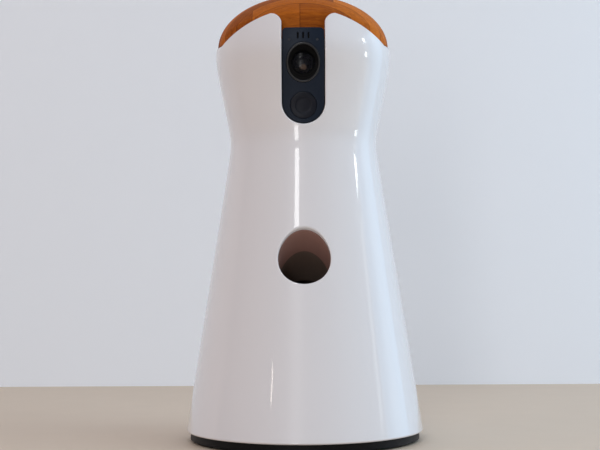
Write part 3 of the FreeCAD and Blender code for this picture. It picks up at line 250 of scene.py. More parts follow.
# %% [markdown]
# ## Effects that many materials share
# Real plastic is never one flat colour: it has a faint cloudiness, a fine moulded texture and
# places that hands have polished.  Metal has fine drawn lines.  Each effect is one group, so
# that it can serve in many materials with its own values in each.  It puts out only a colour, a
# roughness and a height.

# %% The moulded plastic and drawn metal effects
NUMBER, COLOUR, VECTOR = "NodeSocketFloat", "NodeSocketColor", "NodeSocketVector"


def new_effect(name, inputs):
    """An empty node group, the sockets of its input node, and its output node."""
    tree = bpy.data.node_groups.new(name, "ShaderNodeTree")
    for label, (kind, default) in inputs.items():
        socket = tree.interface.new_socket(label, in_out="INPUT", socket_type=kind)
        socket.default_value = default
    for label, kind in (("Colour", COLOUR), ("Roughness", NUMBER), ("Height", NUMBER)):
        tree.interface.new_socket(label, in_out="OUTPUT", socket_type=kind)
    return tree, tree.nodes.new("NodeGroupInput").outputs, tree.nodes.new("NodeGroupOutput")


def toned(tree, colour, pattern, strength):
    """A colour made lighter and darker by a pattern."""
    swing = calculate(tree, "SUBTRACT", pattern, 0.5)
    return vector_step(tree, "SCALE", colour,
                       calculate(tree, "MULTIPLY_ADD", swing, strength, 1.0))


def moulded_effect():
    """Cloudy tone, fine moulded texture and polished patches for plastics and rubber."""
    tree, given, target = new_effect("moulded_surface", {
        "Colour": (COLOUR, (0.5, 0.5, 0.5, 1)), "Clouding": (NUMBER, 0.06),
        "Roughness": (NUMBER, 0.4), "Patchiness": (NUMBER, 0.1), "Grain Scale": (NUMBER, 900.0)})
    place = object_place(tree)
    clouds = noise(tree, place, 38.0, 3.0)
    patch = calculate(tree, "SUBTRACT", noise(tree, place, 95.0, 4.0, Roughness=0.65), 0.5)
    rough = calculate(tree, "MULTIPLY_ADD", patch, given["Patchiness"], given["Roughness"])
    lead(tree, target, Colour=toned(tree, given["Colour"], clouds, given["Clouding"]),
         Roughness=rough, Height=noise(tree, place, given["Grain Scale"], 2.0))
    return tree


def drawn_effect():
    """Fine lines along one axis and a soft tarnish, for turned, rolled and drawn metal."""
    tree, given, target = new_effect("drawn_metal", {
        "Colour": (COLOUR, (0.6, 0.6, 0.6, 1)), "Roughness": (NUMBER, 0.3),
        "Stretch": (VECTOR, (1.0, 1.0, 1.0)), "Tarnish": (NUMBER, 0.15)})
    place = object_place(tree)
    lines = noise(tree, vector_step(tree, "MULTIPLY", place, given["Stretch"]), 1400.0, 3.0)
    haze = noise(tree, place, 140.0, 4.0)
    rough = calculate(tree, "MULTIPLY_ADD", lines, 0.16, given["Roughness"])
    lead(tree, target, Colour=toned(tree, given["Colour"], haze, given["Tarnish"]),
         Roughness=calculate(tree, "SUBTRACT", rough, 0.08), Height=lines)
    return tree


moulded, drawn = moulded_effect(), drawn_effect()
print("shared effects:", moulded.name, drawn.name)

# %% Functions that build a finished material
EFFECT_BUMP = 0.00006   # how high the shared effects raise a surface, in metres


def new_finish(name, **shader_values):
    """A material with a Principled shader; plain numbers sit on the shader's own sockets."""
    finish = bpy.data.materials.new(name)
    finish.use_nodes = True
    shader = finish.node_tree.nodes["Principled BSDF"]
    for socket, setting in spaced(shader_values).items():
        shader.inputs[socket].default_value = setting
    return finish, finish.node_tree, shader


def wear(tree, shader, effect, bump, colour, **values):
    """Put a shared effect in a material, lead its outputs on, and give back its colour."""
    made = add_node(tree, "ShaderNodeGroup", {"Colour": (*colour, 1), **spaced(values)},
                    node_tree=effect).outputs
    raise_surface(tree, shader, made["Height"], bump, EFFECT_BUMP)
    lead(tree, shader, Base_Color=made["Colour"], Roughness=made["Roughness"])
    return made["Colour"]


def plastic(name, colour, roughness, clouding=0.08, patchiness=0.12, bump=0.25, grain=900.0,
            **shader_values):
    finish, tree, shader = new_finish(name, **shader_values)
    wear(tree, shader, moulded, bump, colour, Roughness=roughness, Clouding=clouding,
         Patchiness=patchiness, Grain_Scale=grain)
    return finish


def metal(name, colour, roughness, stretch=(1, 1, 1)):
    finish, tree, shader = new_finish(name, Metallic=1.0)
    wear(tree, shader, drawn, 0.2, colour, Roughness=roughness, Stretch=stretch, Tarnish=0.15)
    return finish


print("material builders ready")

# %% [markdown]
# ## The white shell's finish
# The shell is glossy white ABS under a clear, very smooth skin.  The skin is the shader's coat,
# and the plastic below it is a little rougher, which softens the lamps.

# %% Gloss white
gloss_white = plastic("gloss_white", (0.79, 0.775, 0.80), 0.30, clouding=0.015, patchiness=0.05,
                      bump=0.02, grain=420.0, Coat_Weight=1.0, Coat_Roughness=0.035,
                      Coat_IOR=1.5, IOR=1.46)
print("finish:", gloss_white.name)

# %% [markdown]
# ## The wooden lid's finish
# The lid is turned from a block of glued strips.  The strips run from left to right, each made
# of blocks butted end to end, and every block has its own tone.  The pattern is worked out from
# Object coordinates: which strip, which block in it, a random tone for that block, and grain
# that is stretched along the strip and starts anew in each block.

# %% Glued oiled wood
STRIP, STRIP_START = 0.0072, 0.0394     # a strip's width, front to back, and where strips start
BLOCK, BLOCK_START = 0.064, 0.0015      # a block's length in its strip, and where blocks start
STAGGER = 0.37                          # how far the blocks move on from strip to strip
BLOCK_SEED, GRAIN_SHIFT = 4.0, 0.7      # picks the blocks' tones; moves the grain in each
GLUE_HALF = 0.00016                     # half the width of a glue line
DARK_WOOD, WARM_WOOD = (0.145, 0.026, 0.003, 1), (0.365, 0.092, 0.009, 1)
PALE_WOOD = (0.64, 0.185, 0.022, 1)
GLUE, PORE = (0.045, 0.012, 0.005, 1), (0.060, 0.016, 0.006, 1)


def wood_finish():
    finish, tree, shader = new_finish("oiled_wood", IOR=1.4, Specular_IOR_Level=0.1)
    place = object_place(tree)
    parts = split(tree, place)
    across = calculate(tree, "MULTIPLY_ADD", parts["Y"], 1 / STRIP, STRIP_START / STRIP)
    row = calculate(tree, "FLOOR", across)
    run = calculate(tree, "MULTIPLY_ADD", parts["X"], 1 / BLOCK, BLOCK_START / BLOCK)
    run = calculate(tree, "MULTIPLY_ADD", row, STAGGER, run)
    cell = combine(tree, X=row, Y=calculate(tree, "FLOOR", run), Z=BLOCK_SEED)
    chance = add_node(tree, "ShaderNodeTexWhiteNoise", {"Vector": cell},
                      noise_dimensions="3D").outputs
    shift = vector_step(tree, "SCALE", chance["Color"], GRAIN_SHIFT)
    start = vector_step(tree, "ADD", place, shift)

    def grain(stretch, scale, detail, **more):
        """Noise drawn out along the strip, which starts anew in each block."""
        return noise(tree, vector_step(tree, "MULTIPLY", start, stretch), scale, detail, **more)

    fibre = grain((22.0, 300.0, 300.0), 3.2, 6.0, Roughness=0.62, Distortion=0.6)
    rings = grain((6.0, 120.0, 90.0), 2.0, 2.0, Distortion=1.4)
    pores = grain((60.0, 1500.0, 1500.0), 2.2, 2.0)
    tone = calculate(tree, "MULTIPLY_ADD", chance["Value"], 0.5, -0.02)
    tone = calculate(tree, "MULTIPLY_ADD", fibre, 0.55, tone)
    tone = calculate(tree, "MULTIPLY_ADD", rings, 0.35, tone)
    ramp = add_node(tree, "ShaderNodeValToRGB", {"Fac": tone})
    stops = ramp.color_ramp.elements
    stops[0].position, stops[0].color = 0.32, DARK_WOOD
    stops[1].position, stops[1].color = 1.0, PALE_WOOD
    stops.new(0.62).color = WARM_WOOD

    edges = []          # the glue lines between strips and between blocks
    for position, size in ((across, STRIP), (run, BLOCK)):
        part = calculate(tree, "FRACT", position)
        near = calculate(tree, "MINIMUM", part, calculate(tree, "SUBTRACT", 1.0, part))
        distance = calculate(tree, "MULTIPLY", near, size)
        edges.append(calculate(tree, "LESS_THAN", distance, GLUE_HALF))
    joint = calculate(tree, "MAXIMUM", *edges)
    pore = calculate(tree, "GREATER_THAN", pores, 0.63)
    glued = mix(tree, calculate(tree, "MULTIPLY", joint, 0.65), ramp.outputs["Color"], GLUE)
    lead(tree, shader, Roughness=calculate(tree, "MULTIPLY_ADD", fibre, 0.2, 0.5),
         Base_Color=mix(tree, calculate(tree, "MULTIPLY", pore, 0.28), glued, PORE))
    height = calculate(tree, "SUBTRACT", fibre, calculate(tree, "MULTIPLY", joint, 1.5))
    height = calculate(tree, "SUBTRACT", height, calculate(tree, "MULTIPLY", pore, 0.5))
    raise_surface(tree, shader, height, 0.35, 0.00012)
    return finish


wood = wood_finish()
print("finish:", wood.name, " strip width, mm:", STRIP / MM)

# %% [markdown]
# ## The treat exit's finish
# The chute behind the treat exit is brown plastic.  A few millimetres inside, its colour is
# painted darker as painted shade for the unlit depth of the bore, so the exit shows a pale
# crescent over a dark round end.  The painted shade is measured as a depth along the sloping
# chute, with an edge that curves.

# %% Chute with painted shade deeper inside
EXIT_Y, EXIT_Z = -52.1, 93.0            # where the chute's axis leaves the housing
CHUTE_SLOPE = math.radians(38)
CHUTE_WAY = Vector((0, math.cos(CHUTE_SLOPE), -math.sin(CHUTE_SLOPE)))
# Depths along the chute where the painted shade starts and where it is full.
SHADE_START_DEPTH, SHADE_FULL_DEPTH = 0.0127, 0.0131      # where the dark tone starts and is full
SHADE_EDGE_CURVE = -45.0                    # how the edge bends towards the sides


def chute_painted_shade_finish():
    finish, tree, shader = new_finish("chute_brown_painted_shade", Metallic=0.0)
    brown = wear(tree, shader, moulded, 0.3, (0.35, 0.20, 0.17), Roughness=0.42, Clouding=0.3,
                 Patchiness=0.15, Grain_Scale=700.0)
    place = object_place(tree)
    inward = vector_step(tree, "SUBTRACT", place, (0.0, EXIT_Y * MM, EXIT_Z * MM))
    depth = vector_step(tree, "DOT_PRODUCT", inward, CHUTE_WAY)
    sideways = split(tree, place)["X"]
    squared = calculate(tree, "MULTIPLY", sideways, sideways)
    # The painted shade's edge lies deeper towards the sides.
    deep = calculate(tree, "MULTIPLY_ADD", squared, SHADE_EDGE_CURVE, depth)
    shade = fade(tree, deep, SHADE_START_DEPTH, SHADE_FULL_DEPTH, 0.0, 1.0)
    # Deeper in, the brown is painted darker: painted shade of the unlit bore.
    lead(tree, shader, Base_Color=mix(tree, shade, brown, (0.17, 0.125, 0.100, 1)))
    return finish


chute = chute_painted_shade_finish()
print("finish:", chute.name)

# %% [markdown]
# ## The circuit boards' finish
# A bare board is green lacquer over copper tracks, with rows of tinned pads.  Three patterns of
# cells stand for the copper areas, the tracks between them and the pads.

# %% Board lacquer
def board_finish():
    finish, tree, shader = new_finish("board_green", IOR=1.5)
    place = object_place(tree)

    def cells(scale, feature, inputs=None, **settings):
        return add_node(tree, "ShaderNodeTexVoronoi",
                        {"Vector": place, "Scale": scale, **(inputs or {})},
                        feature=feature, **settings).outputs["Distance"]

    copper = calculate(tree, "GREATER_THAN", cells(170.0, "F1", distance="CHEBYCHEV"), 0.42)
    track = calculate(tree, "LESS_THAN", cells(520.0, "DISTANCE_TO_EDGE"), 0.09)
    raised = calculate(tree, "MAXIMUM", track, copper)
    pad = calculate(tree, "LESS_THAN", cells(330.0, "F1", {"Randomness": 0.25}), 0.13)
    lacquer = mix(tree, raised, (0.006, 0.050, 0.022, 1), (0.020, 0.125, 0.050, 1))
    lead(tree, shader, Base_Color=mix(tree, pad, lacquer, (0.62, 0.60, 0.55, 1)),
         Metallic=calculate(tree, "MULTIPLY", pad, 0.9),
         Roughness=calculate(tree, "MULTIPLY_ADD", pad, 0.1, 0.28))
    raise_surface(tree, shader, raised, 0.4, 0.00005)
    return finish


boards = board_finish()
print("finish:", boards.name)

# %% [markdown]
# ## The lens element's finish
# Behind the cover glass stands a dark coated lens.  A small tan glint is painted into its colour
# a little below its middle, drawn by the distance from a point in the lens's own plane.

# %% Coated lens
GLINT_Z, GLINT_CORE, GLINT_EDGE = 0.1846, 0.0010, 0.0022


def element_finish():
    finish, tree, shader = new_finish("lens_element", Specular_IOR_Level=0.3)
    dark = wear(tree, shader, moulded, 0.02, (0.014, 0.012, 0.013), Roughness=0.30, Clouding=0.4)
    flat_place = vector_step(tree, "MULTIPLY", object_place(tree), (1, 0, 1))
    away = vector_step(tree, "DISTANCE", flat_place, (0.0, 0.0, GLINT_Z))
    # A painted glint: a tan spot mixed into the dark lens colour.
    glint = fade(tree, away, GLINT_CORE, GLINT_EDGE, 1.0, 0.0)
    lead(tree, shader, Base_Color=mix(tree, glint, dark, (0.36, 0.24, 0.17, 1)))
    return finish


element = element_finish()
print("finish:", element.name)

# %% [markdown]
# ## Finishes for the rest
# Every material slot of the record gets one finish.  The pieces that CAD shapes well keep their
# own meshes, and only their finish changes.

# %% One finish for each slot
finishes = {
    "shell_white": gloss_white,
    "base_dark": plastic("base_black", (0.005, 0.005, 0.006), 0.5, Specular_IOR_Level=0.15),
    "foot_rubber": plastic("foot_rubber", (0.0035, 0.0035, 0.0035), 0.9, clouding=0.3, bump=0.6),
    "screw_steel": metal("screw_steel", (0.56, 0.56, 0.58), 0.30),
    "lid_wood": wood,
    "lid_inner": plastic("lid_liner", (0.66, 0.65, 0.62), 0.45),
    "seal_rubber": plastic("seal_silicone", (0.30, 0.30, 0.31), 0.55, clouding=0.12),
    "bin_plastic": plastic("bin_grey", (0.42, 0.43, 0.45), 0.38),
    "rotor_plastic": plastic("rotor_blue", (0.055, 0.20, 0.34), 0.36),
    "shaft_steel": metal("shaft_steel", (0.62, 0.62, 0.64), 0.18, (0.05, 1, 1)),
    "deck_plastic": plastic("deck_grey", (0.16, 0.17, 0.18), 0.45),
    "motor_steel": metal("motor_can", (0.45, 0.45, 0.46), 0.30, (0.08, 1, 1)),
    "chute_plastic": chute,
    "frame_plastic": plastic("frame_black", (0.040, 0.040, 0.044), 0.48),
    "spacer_alloy": metal("spacer_alloy", (0.60, 0.61, 0.63), 0.28, (0.05, 1, 1)),
    "standoff_brass": metal("standoff_brass", (0.56, 0.40, 0.16), 0.26),
    # The arm's near-black brown is painted shade for the unlit far end of the chute where it sits.
    "arm_plastic": plastic("arm_brown_painted_shade", (0.034, 0.026, 0.022), 0.45),
    "spring_steel": metal("spring_steel", (0.42, 0.42, 0.44), 0.22),
    "pinion_brass": metal("pinion_brass", (0.60, 0.43, 0.17), 0.24),
    "gear_plastic": plastic("gear_acetal", (0.70, 0.69, 0.64), 0.34),
    "panel_black": plastic("panel_black", (0.0065, 0.0125, 0.025), 0.42, clouding=0.25,
                           patchiness=0.14, bump=0.06, Specular_IOR_Level=0.2),
    "bezel_black": plastic("bezel_black", (0.010, 0.012, 0.016), 0.30, clouding=0.2,
                           patchiness=0.1, bump=0.04, Specular_IOR_Level=0.4,
                           Coat_Weight=0.5, Coat_Roughness=0.12),
    "lens_cover": plastic("lens_cover", (0.004, 0.004, 0.008), 0.16, bump=0.0, Alpha=0.3,
                          IOR=1.5, Specular_IOR_Level=0.3),
    "lens_element": element,
    "optics_black": plastic("optics_black", (0.0025, 0.0025, 0.003), 0.6,
                            Specular_IOR_Level=0.1),
    "sensor_dark": plastic("sensor_dark", (0.10, 0.085, 0.075), 0.15, bump=0.02),
    "board_green": boards,
    "bracket_plastic": plastic("bracket_black", (0.034, 0.034, 0.038), 0.45),
    "window_dark": plastic("window_dark", (0.004, 0.006, 0.013), 0.34, bump=0.02,
                           Specular_IOR_Level=0.22),
    "led_clear": plastic("led_lens", (0.36, 0.36, 0.42), 0.10, bump=0.02),
    "microphone_case": metal("microphone_case", (0.56, 0.53, 0.44), 0.30),
    "pipe_clear": plastic("pipe_clear", (0.045, 0.05, 0.06), 0.10, bump=0.02),
    "module_can": metal("module_can", (0.56, 0.56, 0.56), 0.32, (1, 0.05, 1)),
    "chip_black": plastic("chip_black", (0.018, 0.018, 0.020), 0.55, bump=0.5),
    "speaker_black": plastic("speaker_black", (0.022, 0.022, 0.023), 0.4),
    "cone_paper": plastic("cone_paper", (0.045, 0.045, 0.048), 0.75, clouding=0.4, bump=0.8),
    "socket_steel": metal("socket_steel", (0.56, 0.56, 0.57), 0.26),
    "button_grey": plastic("button_grey", (0.36, 0.36, 0.38), 0.42),
}
slot_of = {entry["node"]: entry["material_slot"] for entry in frame["record"]["subparts"]}
for name, node in nodes.items():
    node.data.materials.clear()
    node.data.materials.append(finishes[slot_of[name]])
print("finishes:", len(finishes), " dressed sub-parts:", len(nodes))

# %% [markdown]
# ## The housing's form as a formula
# The housing follows a rule: at every height it is an ellipse whose half-width and half-depth
# come from two cones blended at the waist and tucked in at the crown.  With the rule in code,
# every point of the skin and its exact normal are known, so a thin glossy skin can be made
# without the small facets that would spoil its reflections.

# %% The form
WAIST_Z, WAIST_HALF, WAIST_BLEND = 151.0, 37.5, 4.8
MEAN_SLOPE, CONE_SLOPE = 0.0275, 0.1885     # how the two cones lean
TUCK_Z, TUCK_SLOPE, TUCK_BLEND = 196.5, 0.272, 7.0
DEEPER, DEEPER_TOP, DEEPER_POWER = 15.0, 185.0, 1.3     # how much deeper than wide the foot is
BROW_OUT, BROW_Z, BROW_REACH = 2.2, 198.0, 18.0         # how far the brow leans forward
WALL, RIM = 2.4, 199.0
DOME_RADIUS, DOME_RISE, DOME_BASE, LID_GAP = 43.6, 27.1, 199.4, 0.35


def half_width(z):
    up, over = z - WAIST_Z, z - TUCK_Z
    return (WAIST_HALF + MEAN_SLOPE * up
            + CONE_SLOPE * (np.sqrt(up ** 2 + WAIST_BLEND ** 2) - WAIST_BLEND)
            - TUCK_SLOPE * (np.sqrt(over ** 2 + TUCK_BLEND ** 2) + over))


def half_depth(z):
    return half_width(z) + DEEPER * np.maximum(0.0, 1 - z / DEEPER_TOP) ** DEEPER_POWER


def brow(z):
    return BROW_OUT * np.exp(-((z - BROW_Z) / BROW_REACH) ** 2)


def skin_point(turn, z, inset=0.0):
    """A point of the form; the turn is 0 at the front and grows towards +X."""
    wide = half_width(z) - inset
    deep = half_depth(z) + brow(z) / 2 - inset
    return np.stack([wide * np.sin(turn), -brow(z) / 2 - deep * np.cos(turn), z + 0 * turn], -1)


def unit(directions):
    return directions / np.linalg.norm(directions, axis=-1, keepdims=True)


def skin_normal(turn, z, inset=0.0):
    side_step, up_step = 1e-4, 0.01
    sideways = skin_point(turn + side_step, z, inset) - skin_point(turn - side_step, z, inset)
    upwards = skin_point(turn, z + up_step, inset) - skin_point(turn, z - up_step, inset)
    return unit(np.cross(sideways, upwards))


def front_turn(x, z, inset=0.0):
    """The turn at which the front of the form has this x."""
    return np.arcsin(np.clip(x / (half_width(z) - inset), -1, 1))


def clearance_radius(z):
    """The radius that the dome needs at a height."""
    share = np.clip((z - DOME_BASE) / (DOME_RISE + LID_GAP), 0, 0.98)
    return (DOME_RADIUS + LID_GAP) * np.sqrt(1 - share ** 2)


print("waist half-width, mm:", round(float(half_width(WAIST_Z)), 2))

# %% [markdown]
# ## A skin with rounded openings
# An opening in a glossy moulding always has a rounded edge, and that edge is what catches the
# light.  The skin is laid out flat and triangulated so that its mesh follows each outline, then
# each outline gets a lip: a quarter round, a straight wall, and a quarter round on the inside.

# %% Triangulate a flat outline
ROW_SHARE = 0.866       # the height of a row of triangles, for sides of 1
CLEAR_SHARE = 0.55      # grid points nearer than this to an outline are left out
SAME_POINT, LEAST_AREA = 1e-5, 1e-9     # nearer points are one, thinner faces are left out


def inside(points, outline):
    """Which points lie inside a closed outline."""
    x, y = points[:, 0], points[:, 1]
    hit = np.zeros(len(points), bool)
    for (x1, y1), (x2, y2) in zip(outline, np.roll(outline, -1, axis=0)):
        crosses = (y1 > y) != (y2 > y)
        if crosses.any() and y1 != y2:
            at = (x2 - x1) * (y - y1) / (y2 - y1) + x1
            hit ^= crosses & (x < at)
    return hit


def in_skin(points, border, holes):
    """Which points lie inside the border and outside every hole."""
    kept = inside(points, border)
    for hole in holes:
        kept &= ~inside(points, hole)
    return kept


def numbered(lines):
    """The numbers that the points of each line get when the lines are strung together."""
    ends = np.cumsum([0] + [len(points) for points in lines])
    return [list(range(first, last)) for first, last in zip(ends, ends[1:])]


def flat_mesh(border, holes, spacing):
    """Triangles inside a border and outside its holes; the outline points come first."""
    points = np.concatenate([border] + holes)
    edges = []
    for loop in numbered([border] + holes):
        edges += zip(loop, loop[1:] + loop[:1])
    low, high = border.min(0), border.max(0)
    grid = []
    for index, v in enumerate(np.arange(low[1], high[1], spacing * ROW_SHARE)):
        u = np.arange(low[0] + (index % 2) * spacing / 2, high[0], spacing)
        grid.append(np.stack([u, np.full(len(u), v)], -1))
    grid = np.concatenate(grid)
    grid = grid[in_skin(grid, border, holes)]
    gap = np.full(len(grid), np.inf)
    for point in points:
        gap = np.minimum(gap, ((grid - point) ** 2).sum(1))
    every = np.concatenate([points, grid[gap > (CLEAR_SHARE * spacing) ** 2]])
    _, _, faces, origin, _, _ = delaunay_2d_cdt([Vector(p) for p in every], edges, [], 0,
                                               SAME_POINT)
    order = np.array([o[0] if o else -1 for o in origin])
    triangles = np.array([[order[i] for i in face] for face in faces if len(face) == 3])
    triangles = triangles[(triangles >= 0).all(1)]
    triangles = triangles[in_skin(every[triangles].mean(1), border, holes)]
    a, b, c = (every[triangles[:, k]] for k in range(3))
    turn = (b - a)[:, 0] * (c - a)[:, 1] - (b - a)[:, 1] * (c - a)[:, 0]
    triangles[turn < 0] = triangles[turn < 0][:, ::-1]
    return every, triangles[np.abs(turn) > LEAST_AREA]


print("triangulation ready")

# %% Give the skin its walls and lips
OUTER_BEND, INNER_BEND = (18, 36, 54, 72, 90), (90, 60, 30)     # the steps of the quarter rounds
LIP_SHARE = 0.45        # a lip's radius is at most this share of the wall


def lip_faces(first, second):
    size = len(first)
    return [(first[k], first[(k + 1) % size], second[(k + 1) % size], second[k])
            for k in range(size)]


def solid_skin(outer, normal, inner, triangles, lips):
    """Outer and inner faces, and a rounded lip along each loop of outline points.

    A lip is (loop of point numbers, radius); the opening lies on the left as one walks along the
    loop on the outside.  Inner points lie straight behind the outer ones, along the wall."""
    count = len(outer)
    vertices, normals = [outer, inner], [normal, -normal]
    faces = [tuple(t) for t in triangles] + [tuple(t[::-1] + count) for t in triangles]
    total = 2 * count
    for loop, radius in lips:
        start, end, facing = outer[loop], inner[loop], normal[loop]
        along = unit(np.roll(start, -1, axis=0) - np.roll(start, 1, axis=0))
        aside = unit(np.cross(facing, along))
        thick = np.linalg.norm(end - start, axis=1, keepdims=True)
        wall = (end - start) / thick
        small = np.minimum(radius, LIP_SHARE * thick)
        previous = np.array(loop)
        for side, base, angles in ((1, start, OUTER_BEND), (-1, end, INNER_BEND)):
            for angle in np.radians(angles):
                bend = np.sin(angle) * aside + side * (1 - np.cos(angle)) * wall
                vertices.append(base + small * bend)
                tangent = side * np.cos(angle) * aside + np.sin(angle) * wall
                normals.append(unit(np.cross(along, tangent)))
                current = total + np.arange(len(loop))
                total += len(loop)
                faces += lip_faces(previous, current)
                previous = current
        faces += lip_faces(previous, np.array(loop) + count)
    return np.concatenate(vertices), np.concatenate(normals), faces


print("steps in a lip:", len(OUTER_BEND) + len(INNER_BEND))

# %% Make a mesh into a piece
def smooth(mesh, sharp):
    """Shade a mesh smooth, apart from edges sharper than an angle in degrees, if given."""
    mesh.polygons.foreach_set("use_smooth", [True] * len(mesh.polygons))
    mesh.update()
    if sharp is not None:
        mesh.set_sharp_from_angle(angle=math.radians(sharp))


def new_piece(name, vertices, faces, finish, normals=None, sharp=None):
    """A mesh object at the origin, from millimetres, with its finish."""
    mesh = bpy.data.meshes.new(name)
    mesh.from_pydata([tuple(v) for v in np.asarray(vertices) * MM], [],
                     [tuple(int(i) for i in face) for face in faces])
    mesh.materials.append(finish)
    smooth(mesh, sharp)
    if normals is not None:
        mesh.normals_split_custom_set_from_vertices([tuple(n) for n in normals])
    return add_object(name, mesh)


def settle(piece, body, slot, *replaced):
    """Let a piece ride on its body and stand for CAD nodes; the slot is not used."""
    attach(piece, body)
    if replaced:
        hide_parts(*replaced)
    print(piece.name, "rides on", body, "with", len(piece.data.polygons), "faces")


def skin_piece(name, outer, facing, inner, triangles, lips, slot, *replaced):
    """A piece of the housing from its two faces and its lips."""
    vertices, normals, faces = solid_skin(outer, facing, inner, triangles, lips)
    piece = new_piece(name, vertices, faces, finishes[slot], normals)
    settle(piece, "housing", slot, *replaced)


print("pieces can be made")

# %% [markdown]
# ## The outlines of the openings
# The camera notch is open at the top, with a round bottom and rounded shoulders, and the rim
# rises in an arc at the front.  The treat exit is a round bore that slopes upwards to the
# outside, so its outline on the skin is found by following the bore until it meets the form.

# %% Lines, arcs and ovals
def line(first, last, step):
    """Points on a straight line, a step or less apart."""
    count = max(2, int(np.hypot(*(np.array(last) - first)) / step) + 1)
    share = np.linspace(0, 1, count)[:, None]
    return (1 - share) * np.array(first) + share * np.array(last)


def arc(centre, radius, first, last, step):
    """Points on an arc between two angles in degrees."""
    count = max(3, int(abs(math.radians(last - first)) * radius / step) + 1)
    angle = np.radians(np.linspace(first, last, count))
    return np.stack([centre[0] + radius * np.cos(angle), centre[1] + radius * np.sin(angle)], -1)


def oval_loop(half_x, half_z, centre, count=96):
    """A closed loop, counter-clockwise; the half sizes may differ from point to point."""
    angle = np.linspace(0, math.tau, count + 1)[:-1]
    return np.stack([centre[0] + half_x * np.cos(angle),
                     centre[1] + half_z * np.sin(angle)], -1)


print("points on a unit circle:", len(oval_loop(1, 1, (0, 0))))

# %% Draw the outlines
SKIN_LIP = 0.8
NOTCH_HALF, NOTCH_LOW = 10.55, 167.9
SHOULDER, SHOULDER_Z = 6.0, 206.0
COLLAR_ARC, COLLAR_Z = 64.0, 150.0
EXIT_RADIUS = 12.6
SPREAD = 48.0           # length on the flat skin of one radian


def notch_side():
    """From the rim at the right of the lid down to the bottom of the notch, in x and z."""
    collar, shoulder = COLLAR_ARC - SKIN_LIP, SHOULDER - SKIN_LIP
    end = math.degrees(math.asin((RIM - SKIN_LIP - COLLAR_Z) / collar))
    x = NOTCH_HALF + SHOULDER
    gap = math.hypot(x, SHOULDER_Z - COLLAR_Z)
    lean = math.degrees(math.atan2(SHOULDER_Z - COLLAR_Z, x))
    meet = math.degrees(math.acos((gap ** 2 + shoulder ** 2 - collar ** 2)
                                  / (2 * gap * shoulder)))
    first = lean + 180 - meet           # where the shoulder's arc meets the collar's
    tip = (x + shoulder * math.cos(math.radians(first)),
           SHOULDER_Z + shoulder * math.sin(math.radians(first)))
    top = math.degrees(math.atan2(tip[1] - COLLAR_Z, tip[0]))
    half = NOTCH_HALF + SKIN_LIP
    return np.concatenate([
        arc((0, COLLAR_Z), collar, end, top, 1.2)[:-1],
        arc((x, SHOULDER_Z), shoulder, first, 180, 0.6)[:-1],
        line((half, SHOULDER_Z), (half, NOTCH_LOW), 1.2)[:-1],
        arc((0, NOTCH_LOW), half, 0, -90, 0.8)])


def on_flat_front(x, z):
    """Points in x and z on the front of the form, laid on the flat skin."""
    return np.stack([front_turn(x, z) * SPREAD, z], -1)


def exit_outline(radius):
    """Where the sloping bore meets the skin."""
    x, rise = oval_loop(radius, radius, (0, 0), 120).T
    depth = 0 * x
    for _ in range(40):
        z = EXIT_Z + rise * math.cos(CHUTE_SLOPE) - depth * math.sin(CHUTE_SLOPE)
        y = skin_point(front_turn(x, z), z)[:, 1]
        depth = (y - EXIT_Y - rise * math.sin(CHUTE_SLOPE)) / math.cos(CHUTE_SLOPE)
    return on_flat_front(x, z)


def rear_hole(points):
    """An outline on the rear of the skin, laid on the flat skin and still counter-clockwise."""
    turn = math.pi - np.arcsin(points[:, 0] / half_width(points[:, 1]))
    return np.stack([turn * SPREAD, points[:, 1]], -1)[::-1].copy()


side = notch_side()
front_top = np.concatenate([side, side[::-1][1:] * (-1, 1)])
print("points along the notch and collar:", len(front_top))

# %% [markdown]
# ## The rear openings
# Behind the speaker stands a field of small holes on a triangular grid.  Such a repeated grid is
# laid out by Geometry Nodes: one point for each hole, then only the points within a circle are
# kept.  The skin's outlines are then taken from those points.

# %% Tools for Geometry Nodes
def node_tree(name, inputs):
    """An empty tree with number inputs, their sockets and identifiers, and its output node."""
    tree = bpy.data.node_groups.new(name, "GeometryNodeTree")
    identifiers = {}
    for label, default in inputs.items():
        socket = tree.interface.new_socket(label, in_out="INPUT", socket_type=NUMBER)
        socket.default_value = default
        identifiers[label] = socket.identifier
    tree.interface.new_socket("Geometry", in_out="OUTPUT", socket_type="NodeSocketGeometry")
    given = tree.nodes.new("NodeGroupInput").outputs
    return tree, given, tree.nodes.new("NodeGroupOutput"), identifiers


def grow(tree, kind, **inputs):
    """Add a node of Geometry Nodes and give back its first output."""
    return add_node(tree, "GeometryNode" + kind, spaced(inputs)).outputs[0]


def end_tree(tree, geometry, target, finish):
    """Close a tree as the export needs it: real geometry that carries its finish."""
    real = grow(tree, "RealizeInstances", Geometry=geometry)
    lead(tree, target, Geometry=grow(tree, "SetMaterial", Geometry=real, Material=finish))


def grown_mesh(name, tree, identifiers, sizes):
    """Run a tree on an empty object, set its inputs first, and keep the plain mesh."""
    holder = add_object(name + "_tree", bpy.data.meshes.new(name + "_seed"))
    grower = holder.modifiers.new("grow", "NODES")
    grower.node_group = tree
    for label, size in sizes.items():
        grower[identifiers[label]] = size
    seen = holder.evaluated_get(bpy.context.evaluated_depsgraph_get())
    mesh = bpy.data.meshes.new_from_object(seen)
    bpy.data.objects.remove(holder)
    mesh.name = name
    return mesh


print("tools for trees ready")

# %% Lay out the speaker holes
GRILLE_Z, GRILLE_PITCH, GRILLE_RADIUS, GRILLE_HOLE = 98.0, 3.0, 9.5, 0.8
ROW_PITCH = math.sqrt(0.75)             # from row to row, for a pitch of 1


